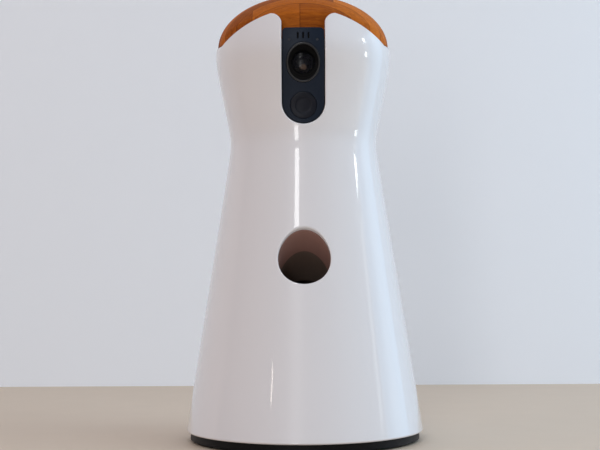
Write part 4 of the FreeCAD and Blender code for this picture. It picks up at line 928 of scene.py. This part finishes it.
def hex_field_tree():
    """Rows of points, every other one moved by half a pitch, kept within a radius."""
    tree, given, target, identifiers = node_tree(
        "speaker_hole_field", {"Pitch": GRILLE_PITCH, "Radius": GRILLE_RADIUS})
    pitch = given["Pitch"]
    span = calculate(tree, "MULTIPLY", pitch, 10.0)
    grid = grow(tree, "MeshGrid", Vertices_X=11, Vertices_Y=11, Size_X=span,
                Size_Y=calculate(tree, "MULTIPLY", span, ROW_PITCH))
    place = grow(tree, "InputPosition")
    row = calculate(tree, "DIVIDE", split(tree, place)["Y"],
                    calculate(tree, "MULTIPLY", pitch, ROW_PITCH))
    odd = calculate(tree, "PINGPONG", calculate(tree, "ROUND", row), 1.0)
    push = calculate(tree, "MULTIPLY", calculate(tree, "MULTIPLY", odd, pitch), 0.5)
    moved = grow(tree, "SetPosition", Geometry=grid, Offset=combine(tree, X=push))
    far = calculate(tree, "GREATER_THAN", vector_step(tree, "LENGTH", place), given["Radius"])
    kept = grow(tree, "DeleteGeometry", Geometry=moved, Selection=far)
    end_tree(tree, kept, target, gloss_white)
    return tree, identifiers


field = grown_mesh("speaker_holes", *hex_field_tree(),
                   {"Pitch": GRILLE_PITCH, "Radius": GRILLE_RADIUS})
hole_places = [(v.co.x, GRILLE_Z + v.co.y) for v in field.vertices]
bpy.data.meshes.remove(field)
print("speaker holes:", len(hole_places))

# %% [markdown]
# ## The shell
# The flat skin is mapped on the form.  The inner face follows at the wall's thickness, and where
# the collar stands round the lid it keeps clear of the dome.

# %% Lay out the flat skin
FOOT_Z = 5.0            # the skin's lower edge
SEAM = -1.8             # the turn at which the flat skin is cut open
SMALL_LIP = 0.35        # for the speaker holes and the plug's opening
PLUG_HALF, PLUG_Z, PLUG_RISE, PLUG_CORNER = 5.0, 14, 3.0, 1.0
SHELL_SPACING = 3.0     # from point to point of the shell's mesh


def shell_border():
    low, rim = FOOT_Z + SKIN_LIP, RIM - SKIN_LIP
    left, right = SEAM * SPREAD, (SEAM + math.tau) * SPREAD
    bottom = line((left, low), (right, low), 2.4)
    right_side = line((right, low), (right, rim), 3.0)
    arcs = on_flat_front(front_top[:, 0], front_top[:, 1])
    rear_rim = line((right, rim), (arcs[0, 0], rim), 1.6)
    left_rim = line((arcs[-1, 0], rim), (left, rim), 1.6)
    left_side = right_side[::-1] - (math.tau * SPREAD, 0)
    return [bottom[:-1], right_side[:-1], rear_rim[:-1], arcs, left_rim[1:-1], left_side[:-1]]


border_lines = shell_border()
border = np.concatenate(border_lines)
holes = [exit_outline(EXIT_RADIUS + SKIN_LIP)]
for x, z in hole_places:
    ring = oval_loop(GRILLE_HOLE + SMALL_LIP, GRILLE_HOLE + SMALL_LIP, (x, z), 12)
    holes.append(rear_hole(ring))
plug = np.concatenate([arc((sx * PLUG_HALF, PLUG_Z + sz * PLUG_RISE), PLUG_CORNER + SMALL_LIP,
                           first, first + 90, 0.4)
                       for sx, sz, first in ((1, 1, 0), (-1, 1, 90), (-1, -1, 180), (1, -1, 270))])
holes.append(rear_hole(plug))
flat, triangles = flat_mesh(border, holes, SHELL_SPACING)
print("flat skin:", len(flat), "points,", len(triangles), "triangles")

# %% Fold the skin
COLLAR_LOW, COLLAR_WALL = RIM - 2.2, 0.35   # where the collar makes room, and its least wall
COLLAR_TURN = 1.35                          # how far round the front the collar reaches
LEAST_SLANT = 0.35                          # keeps a cut wall short where it grazes the skin


def shell_inner(outer, normal, turn):
    """Points of the inner face, pushed out where the dome needs room."""
    inner = outer - normal * WALL
    radius = np.hypot(inner[:, 0], inner[:, 1])
    limit = np.hypot(outer[:, 0], outer[:, 1]) - COLLAR_WALL
    wanted = np.minimum(np.maximum(radius, clearance_radius(inner[:, 2])), limit)
    in_collar = (outer[:, 2] > COLLAR_LOW) & (np.abs(turn) < COLLAR_TURN)
    inner[:, :2] *= np.where(in_collar, wanted / radius, 1.0)[:, None]
    return inner


def clear_dome(inner, outer, points, x):
    """Bring inner points forward until they stand clear of the dome."""
    room = np.sqrt(clearance_radius(outer[points, 2]) ** 2 - x ** 2)
    inner[points, 1] = np.minimum(inner[points, 1], -room)


turns = flat[:, 0] / SPREAD
outer = skin_point(turns, flat[:, 1])
facing = skin_normal(turns, flat[:, 1])
inner = shell_inner(outer, facing, turns)
exit_points, *rear_points = numbered([border] + holes)[1:]
bottom, right_side, rear_rim, arcs, left_rim, left_side = numbered(border_lines)


def cut_wall(points, way):
    """Openings that are cut straight through keep their walls along the cut."""
    way = np.array(way)
    slant = np.abs((facing[points] * way).sum(1, keepdims=True))
    inner[points] = outer[points] + way * WALL / np.maximum(slant, LEAST_SLANT)


cut_wall(exit_points, CHUTE_WAY)
cut_wall(sum(rear_points, []), (0, -1, 0))
notch = np.array(arcs)
notch = notch[np.abs(outer[notch, 0]) < NOTCH_HALF + SKIN_LIP + 0.05]
cut_wall(notch, (0, 1, 0))
high = notch[outer[notch, 2] > RIM]
clear_dome(inner, outer, high, inner[high, 0])
print("points of the notch and collar that stand clear of the dome:", len(high))

# %% Close the seam and the edges
twin = np.arange(len(flat))             # the two sides of the seam are the same points
twin[right_side[0]] = bottom[0]
for point in right_side[1:] + rear_rim[:1]:
    twin[point] = left_side[np.abs(flat[left_side, 1] - flat[point, 1]).argmin()]
top = rear_rim[1:] + arcs + left_rim + left_side[:1]
lips = [(bottom[::-1], SKIN_LIP), (top[::-1], SKIN_LIP), (exit_points, SKIN_LIP)]
lips += [(loop, SMALL_LIP) for loop in rear_points]
skin_piece("glossy_shell", outer, facing, inner, twin[triangles], lips,
           "shell_white", "outer_shell")

# %% [markdown]
# ## The camera strip
# The dark strip follows the same form, a little below the skin, and fills the notch.  It is cut
# for the lens ring, the lower window, three sound slots and two pinholes.

# %% Build the camera strip
STRIP_INSET, STRIP_THICK, STRIP_LIP = 0.6, 2.2, 0.3
STRIP_HALF, STRIP_TOP, STRIP_CORNER = 10.2, 203.7, 1.6
LENS_Z, WINDOW_Z, PINHOLE_Z = 186.7, 166.2, 197.6
LENS_HOLE, WINDOW_HOLE = (8.2, 9.65), 6.55          # half sizes and radius
SLOT_LOW, SLOT_HIGH, SLOT_HALF, SLOT_PITCH, SLOT_LIP = 198.4, 200.8, 0.42, 2.6, 0.12
PINHOLE, PINHOLE_X, PINHOLE_LIP = 0.8, 6.8, 0.15
STRIP_SPACING = 1.4     # from point to point of the strip's mesh


def on_form(points, inset):
    """Points in x and z laid on the front of the form at a depth below the skin."""
    return skin_point(front_turn(points[:, 0], points[:, 1], inset), points[:, 1], inset)


def form_normal(points, inset):
    return skin_normal(front_turn(points[:, 0], points[:, 1], inset), points[:, 1], inset)


def strip_outline():
    half, top = STRIP_HALF - STRIP_LIP, STRIP_TOP - STRIP_LIP
    low_z, corner_x, corner_z = NOTCH_LOW, half - STRIP_CORNER, top - STRIP_CORNER
    return np.concatenate([
        arc((0, low_z), half, 180, 360, 0.7),
        line((half, low_z), (half, corner_z), 1.5)[1:-1],
        arc((corner_x, corner_z), STRIP_CORNER, 0, 90, 0.4),
        line((corner_x, top), (-corner_x, top), 1.5)[1:-1],
        arc((-corner_x, corner_z), STRIP_CORNER, 90, 180, 0.4),
        line((-half, corner_z), (-half, low_z), 1.5)[1:-1]])


lens_x, lens_z = LENS_HOLE
window = WINDOW_HOLE + STRIP_LIP
cuts = [(oval_loop(lens_x + STRIP_LIP, lens_z + STRIP_LIP, (0, LENS_Z), 72), STRIP_LIP),
        (oval_loop(window, window, (0, WINDOW_Z), 60), STRIP_LIP)]
for x in (-SLOT_PITCH, 0.0, SLOT_PITCH):
    ends = [arc((x, z), SLOT_HALF + SLOT_LIP, first, first + 180, 0.25)
            for z, first in ((SLOT_HIGH, 0), (SLOT_LOW, 180))]
    cuts.append((np.concatenate(ends), SLOT_LIP))
cuts += [(oval_loop(PINHOLE, PINHOLE, (x, PINHOLE_Z), 20), PINHOLE_LIP)
         for x in (-PINHOLE_X, PINHOLE_X)]
outline, cut_loops = strip_outline(), [loop for loop, _ in cuts]
flat, triangles = flat_mesh(outline, cut_loops, STRIP_SPACING)
outer = on_form(flat, STRIP_INSET)
inner = outer + np.array((0, STRIP_THICK, 0))
high = outer[:, 2] > RIM
clear_dome(inner, outer, high, outer[high, 0])
rim_points, *cut_points = numbered([outline] + cut_loops)
lips = [(rim_points[::-1], STRIP_LIP)]
lips += [(points, lip) for points, (_, lip) in zip(cut_points, cuts)]
skin_piece("camera_strip", outer, form_normal(flat, STRIP_INSET), inner, triangles, lips,
           "panel_black", "camera_panel")

# %% [markdown]
# ## Dust cloth behind the sound slots
# A piece of black dust cloth stands behind the sound slots, inside the strip's thickness.

# %% Lay the dust cloth
CLOTH_HALF, CLOTH_LOW, CLOTH_HIGH, CLOTH_INSET = 3.9, 197.4, 201.8, 1.15
CLOTH_THICK, CLOTH_LIP, CLOTH_SPACING = 0.25, 0.08, 0.7
corners = [(-CLOTH_HALF, CLOTH_LOW), (CLOTH_HALF, CLOTH_LOW), (CLOTH_HALF, CLOTH_HIGH),
           (-CLOTH_HALF, CLOTH_HIGH)]
outline = np.concatenate([line(corners[k - 1], corners[k], 0.8)[:-1] for k in (1, 2, 3, 0)])
flat, triangles = flat_mesh(outline, [], CLOTH_SPACING)
outer, facing = on_form(flat, CLOTH_INSET), form_normal(flat, CLOTH_INSET)
skin_piece("dust_cloth", outer, facing, outer - facing * CLOTH_THICK, triangles,
           [(list(range(len(outline)))[::-1], CLOTH_LIP)], "optics_black")

# %% [markdown]
# ## The lens ring and the windows
# The ring round the lens is an oval whose face follows the strip.  Inside it a matt liner goes
# down to the glass as a cone, so that no stray light reaches the lens.  Such a form is a stack
# of closed loops, joined one to the next.

# %% Tools for stacked loops
def stacked(name, body, slot, replaced, loops, cap=None, sharp=40):
    """A piece from loops of equal count, the last joined to the first, or capped by points."""
    size = len(loops[0])
    vertices = np.concatenate(loops)
    faces = []
    last = len(loops) if cap is None else len(loops) - 1
    for k in range(last):
        second = ((k + 1) % len(loops)) * size
        faces += lip_faces(k * size + np.arange(size), second + np.arange(size))
    if cap is not None:
        vertices = np.concatenate([vertices, np.array(cap)])
        for number, base in ((len(vertices) - 2, 0), (len(vertices) - 1, last * size)):
            for k in range(size):
                pair = (base + k, base + (k + 1) % size)
                faces.append((number, *(pair[::-1] if base == 0 else pair)))
    piece = new_piece(name, vertices, faces, finishes[slot], sharp=sharp)
    settle(piece, body, slot, *replaced)


def lens_oval(half_x, half_z):
    return oval_loop(half_x, half_z, (0, LENS_Z))


def at_depth(loop, depth):
    return np.column_stack([loop[:, 0], np.full(len(loop), depth), loop[:, 1]])


def lens_circle(radius, depth):
    return at_depth(lens_oval(radius, radius), depth)


RING_DEPTH, MOUTH_DEPTH, GLASS_DEPTH = 3.4, 1.4, 1.45
front_of_lens = float(on_form(np.array([[0.0, LENS_Z]]), STRIP_INSET)[0, 1])
ring_back = front_of_lens + RING_DEPTH
print("front of the strip at the lens, mm:", round(front_of_lens, 2))

# %% Stack the lens ring and its liner
RING_FACE = ((8.15, 9.60, 0.62), (8.13, 9.58, 0.46), (8.03, 9.48, 0.33), (7.86, 9.31, 0.26),
             (7.74, 9.10, 0.25), (7.52, 8.80, 0.28), (7.42, 8.66, 0.40), (7.38, 8.50, 0.75))
MOUTH_RADIUS, MOUTH_WIDEN = 5.85, 0.35
CONE_WIDER, CONE_DEEPER = 5, 7.4        # how the cone of the mouth widens with its depth
LINER_HALF_X, LINER_HALF_Z, LINER_INSET, LINER_HOLE = 7.36, 8.48, 0.77, 6.3
MOUTH_INSET, MOUTH_BACK = 1.2, 1.42     # depths of the cone's edge and of the step behind it
LINER_SHORT = 0.02                      # how far before the ring's back the liner ends


def mouth_edge(inset):
    """Where the cone of the mouth meets the ring's face."""
    radius = 7.0
    for _ in range(30):
        rise = front_of_lens + MOUTH_DEPTH - on_form(lens_oval(radius, radius), inset)[:, 1]
        radius = MOUTH_RADIUS + MOUTH_WIDEN + rise * CONE_WIDER / CONE_DEEPER
    return on_form(lens_oval(radius, radius), inset)


face = [on_form(lens_oval(half_x, half_z), inset) for half_x, half_z, inset in RING_FACE]
stacked("lens_ring", "housing", "bezel_black", ["lens_bezel"],
        [at_depth(lens_oval(*RING_FACE[0][:2]), ring_back), *face,
         at_depth(lens_oval(*RING_FACE[-1][:2]), ring_back)])
liner, liner_back = lens_oval(LINER_HALF_X, LINER_HALF_Z), ring_back - LINER_SHORT
stacked("lens_cone_liner", "housing", "optics_black", [],
        [at_depth(liner, liner_back), on_form(liner, LINER_INSET), mouth_edge(MOUTH_INSET),
         lens_circle(MOUTH_RADIUS, front_of_lens + MOUTH_DEPTH),
         lens_circle(LINER_HOLE, front_of_lens + MOUTH_BACK), lens_circle(LINER_HOLE, liner_back)])

# %% Stack the cover glass and the lower window
GLASS_CURVE = 16        # radius of the glass's domed front
GLASS_THICK, GLASS_EDGE, GLASS_RADIUS = 2.3, 2.1, 6.28
WINDOW_FACE = ((0.8, 2.5), (3.5, 2.5), (6.3, 2.5), (6.5, 2.3), (6.5, 0.95), (6.42, 0.84),
               (6.2, 0.80), (4.6, 0.90), (4.0, 0.96), (3.9, 1.10), (3.7, 1.16), (2.4, 1.12),
               (1.2, 1.10))             # radius and depth below the skin

glass_front = front_of_lens + GLASS_DEPTH
back = [lens_circle(r, glass_front + GLASS_THICK) for r in (0.8, 3.4, 6.1)]
front = [lens_circle(r, glass_front + GLASS_CURVE - math.sqrt(GLASS_CURVE ** 2 - r * r) + 0.02)
         for r in (GLASS_RADIUS, 6.1, 5.2, 4.1, 3.0, 1.8, 0.8)]
stacked("lens_cover_glass", "housing", "lens_cover", ["lens_glass"],
        [*back, lens_circle(GLASS_RADIUS, glass_front + GLASS_EDGE), *front],
        cap=[(0, glass_front + GLASS_THICK, LENS_Z), (0, glass_front, LENS_Z)])
stacked("lower_window", "housing", "window_dark", ["ir_window"],
        [on_form(oval_loop(radius, radius, (0, WINDOW_Z), 72), inset)
         for radius, inset in WINDOW_FACE],
        cap=[on_form(np.array([[0.0, WINDOW_Z]]), WINDOW_FACE[k][1])[0] for k in (0, -1)])

# %% [markdown]
# ## The wooden dome
# The lid is turned wood, so its form is a profile spun round the axis: an oval crown, a rounded
# lower edge, and a stepped hollow below.  At the front it is trimmed where it stands behind the
# collar, so that it lifts past it.

# %% Spin the dome
TRIM_RADIUS, TRIM_Y = 47.0, 8.39
DOME_EDGE, DOME_SIDES = 0.55, 192
HOLLOW_WIDE, HOLLOW_STEP, HOLLOW_NARROW, HOLLOW_TOP = 37.45, 207.8, 25.0, 213.8


def dome_profile():
    angle = np.radians(np.concatenate([np.linspace(89, 8, 46), np.linspace(7, 2.2, 6)]))
    crown = [(DOME_RADIUS * math.cos(a), DOME_BASE + DOME_RISE * math.sin(a)) for a in angle]
    corner = [(DOME_RADIUS - DOME_EDGE + DOME_EDGE * math.cos(a),
               DOME_BASE + DOME_EDGE + DOME_EDGE * math.sin(a))
              for a in np.radians((0, -22, -45, -67, -90))]
    hollow = [(HOLLOW_WIDE, DOME_BASE), (HOLLOW_WIDE, HOLLOW_STEP), (HOLLOW_NARROW, HOLLOW_STEP),
              (HOLLOW_NARROW, HOLLOW_TOP)]
    return crown + corner + hollow


direction = oval_loop(1, 1, (0, 0), DOME_SIDES)
trim = direction[:, 1] * TRIM_Y
reach = trim + np.sqrt(trim ** 2 - TRIM_Y ** 2 + TRIM_RADIUS ** 2)
loops = [np.column_stack([direction * np.minimum(radius, reach)[:, None],
                          np.full(DOME_SIDES, height)])
         for radius, height in dome_profile()[::-1]]
stacked("turned_wood_dome", "lid", "lid_wood", ["wood_dome"], loops,
        cap=[(0, 0, HOLLOW_TOP), (0, 0, DOME_BASE + DOME_RISE)], sharp=35)

# %% [markdown]
# ## The base screws
# Four equal pan-head screws hold the base.  What repeats is made once: Geometry Nodes shape one
# screw, with a cross recess in its head and a ridge of thread wound round its shank, and stand
# a copy of it on each corner of a grid.

# %% Grow the base screws with Geometry Nodes
SCREW_SET = {"Across": 0.074, "Deep": 0.093, "Base Height": 0.0013}
SCREW = {"Head Radius": 0.003, "Head Height": 0.0018, "Shank Radius": 0.0015, "Length": 0.016}
CROWN_SHARE, CROWN_NARROW = 0.35, 0.86  # the head's slanted part: share of height and radius
CORE_SHARE, THREAD_SHARE, THREAD_TURNS = 0.84, 0.92, 14.0
RECESS_ARM = (0.0034, 0.0007, 0.0009)   # one arm of the cross in the head


def grown_piece(name, tree, identifiers, sizes, sharp=None):
    mesh = grown_mesh(name, tree, identifiers, sizes)
    smooth(mesh, sharp)
    return add_object(name, mesh)


def screw_tree():
    """Screws that stand head down, one on each corner of a grid; all sizes in metres."""
    tree, sizes, target, identifiers = node_tree("base_screw_set", {**SCREW_SET, **SCREW})

    def scaled(size, share):
        return calculate(tree, "MULTIPLY", size, share)

    def lifted(piece, height, turn=0.0):
        return grow(tree, "Transform", Geometry=piece, Translation=combine(tree, Z=height),
                    Rotation=(0, 0, turn))

    def cone(vertices, top, bottom, depth):
        return grow(tree, "MeshCone", Vertices=vertices, Radius_Top=top, Radius_Bottom=bottom,
                    Depth=depth)

    head_radius, head_height = sizes["Head Radius"], sizes["Head Height"]
    face = scaled(head_height, CROWN_SHARE)
    crown = cone(40, head_radius, scaled(head_radius, CROWN_NARROW), face)
    rim = cone(40, head_radius, head_radius, calculate(tree, "SUBTRACT", head_height, face))
    core = scaled(sizes["Shank Radius"], CORE_SHARE)
    shank_length = calculate(tree, "SUBTRACT", sizes["Length"], head_height)
    shank = cone(24, core, core, shank_length)
    winding = grow(tree, "CurveSpiral", Resolution=16, Rotations=THREAD_TURNS,
                   Start_Radius=core, End_Radius=core,
                   Height=scaled(shank_length, THREAD_SHARE))
    ridge = grow(tree, "CurvePrimitiveCircle", Resolution=3,
                 Radius=calculate(tree, "SUBTRACT", sizes["Shank Radius"], core))
    thread = grow(tree, "CurveToMesh", Curve=winding, Profile_Curve=ridge, Fill_Caps=True)
    head = add_node(tree, "GeometryNodeMeshBoolean", {"Mesh 1": crown}, operation="DIFFERENCE")
    for turn in (0.0, math.pi / 2):
        blade = grow(tree, "MeshCube", Size=RECESS_ARM)
        lead(tree, head, Mesh_2=lifted(blade, 0.0, turn))
    whole = add_node(tree, "GeometryNodeJoinGeometry")
    for part in (head.outputs[0], lifted(rim, face), lifted(shank, head_height),
                 lifted(thread, head_height)):
        lead(tree, whole, Geometry=part)
    corners = grow(tree, "MeshGrid", Size_X=sizes["Across"], Size_Y=sizes["Deep"],
                   Vertices_X=2, Vertices_Y=2)
    placed = grow(tree, "InstanceOnPoints", Points=lifted(corners, sizes["Base Height"]),
                  Instance=whole.outputs[0])
    end_tree(tree, placed, target, finishes["screw_steel"])
    return tree, identifiers


screws = grown_piece("cross_head_screws", *screw_tree(), SCREW_SET, sharp=35)
settle(screws, "housing", "screw_steel", "base_screws")

# %% [markdown]
# ## The setup button's spring
# The spring under the base follows a path, a helix, so Geometry Nodes wind it from a spiral and a
# round section.  Its upper end rests on the button's board; in use it shortens by as much as the
# button travels.

# %% Wind the button's spring
SPRING_PLACE, SPRING_LOW, SPRING_HIGH = (0.030, 0.030), 0.0046, 0.0089
WIRE, TRAVEL = 0.00035, 0.0012


def spring_tree():
    tree, sizes, target, identifiers = node_tree(
        "wound_spring", {"Coil Radius": 0.0022, "Wire Radius": WIRE, "Height": 0.0036,
                         "Turns": 4.0})
    helix = grow(tree, "CurveSpiral", Resolution=24, Rotations=sizes["Turns"],
                 Height=sizes["Height"], Start_Radius=sizes["Coil Radius"],
                 End_Radius=sizes["Coil Radius"])
    section = grow(tree, "CurvePrimitiveCircle", Resolution=10, Radius=sizes["Wire Radius"])
    wound = grow(tree, "CurveToMesh", Curve=helix, Profile_Curve=section, Fill_Caps=True)
    end_tree(tree, wound, target, finishes["spring_steel"])
    return tree, identifiers


coil = grown_piece("wound_button_spring", *spring_tree(),
                   {"Height": SPRING_HIGH - SPRING_LOW - 2 * WIRE, "Wire Radius": WIRE})
coil.data.transform(Matrix.Translation((*SPRING_PLACE, SPRING_LOW + WIRE)))
settle(coil, "housing", "spring_steel", "button_spring")
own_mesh(coil)

# %% [markdown]
# ## The table and the wall
# The product stands on a pale tan table whose rear edge shows behind it, in front of a pale wall.
# Both sheets are one-sided: seen from behind they are clear, so that the object's rear and
# underside can be looked at as well.

# %% Lay the table and hang the wall
SHEET_HALF, TABLE_NEAR, WALL_Y, WALL_TOP = 3, -2.5, 0.386, 3    # in metres


def stage_sheet(name, corners, colour, mottle):
    finish, tree, shader = new_finish(name + "_finish")
    wear(tree, shader, moulded, 0.05, colour, Roughness=0.62, Clouding=mottle, Patchiness=0.05,
         Grain_Scale=500.0)
    unseen = add_node(tree, "ShaderNodeBsdfTransparent").outputs[0]
    behind = add_node(tree, "ShaderNodeNewGeometry").outputs["Backfacing"]
    one_sided = add_node(tree, "ShaderNodeMixShader",
                         {0: behind, 1: shader.outputs[0], 2: unseen}).outputs[0]
    lead(tree, tree.nodes["Material Output"], Surface=one_sided)
    new_piece(name, np.array(corners) / MM, [(0, 1, 2, 3)], finish)
    print(name, "covers", corners[0], "to", corners[2])


left, right = -SHEET_HALF, SHEET_HALF
stage_sheet("table", [(left, TABLE_NEAR, 0), (right, TABLE_NEAR, 0), (right, WALL_Y, 0),
                      (left, WALL_Y, 0)], (0.66, 0.55, 0.44), 0.05)
stage_sheet("wall", [(left, WALL_Y, 0), (right, WALL_Y, 0), (right, WALL_Y, WALL_TOP),
                     (left, WALL_Y, WALL_TOP)], (0.90, 0.935, 0.99), 0.01)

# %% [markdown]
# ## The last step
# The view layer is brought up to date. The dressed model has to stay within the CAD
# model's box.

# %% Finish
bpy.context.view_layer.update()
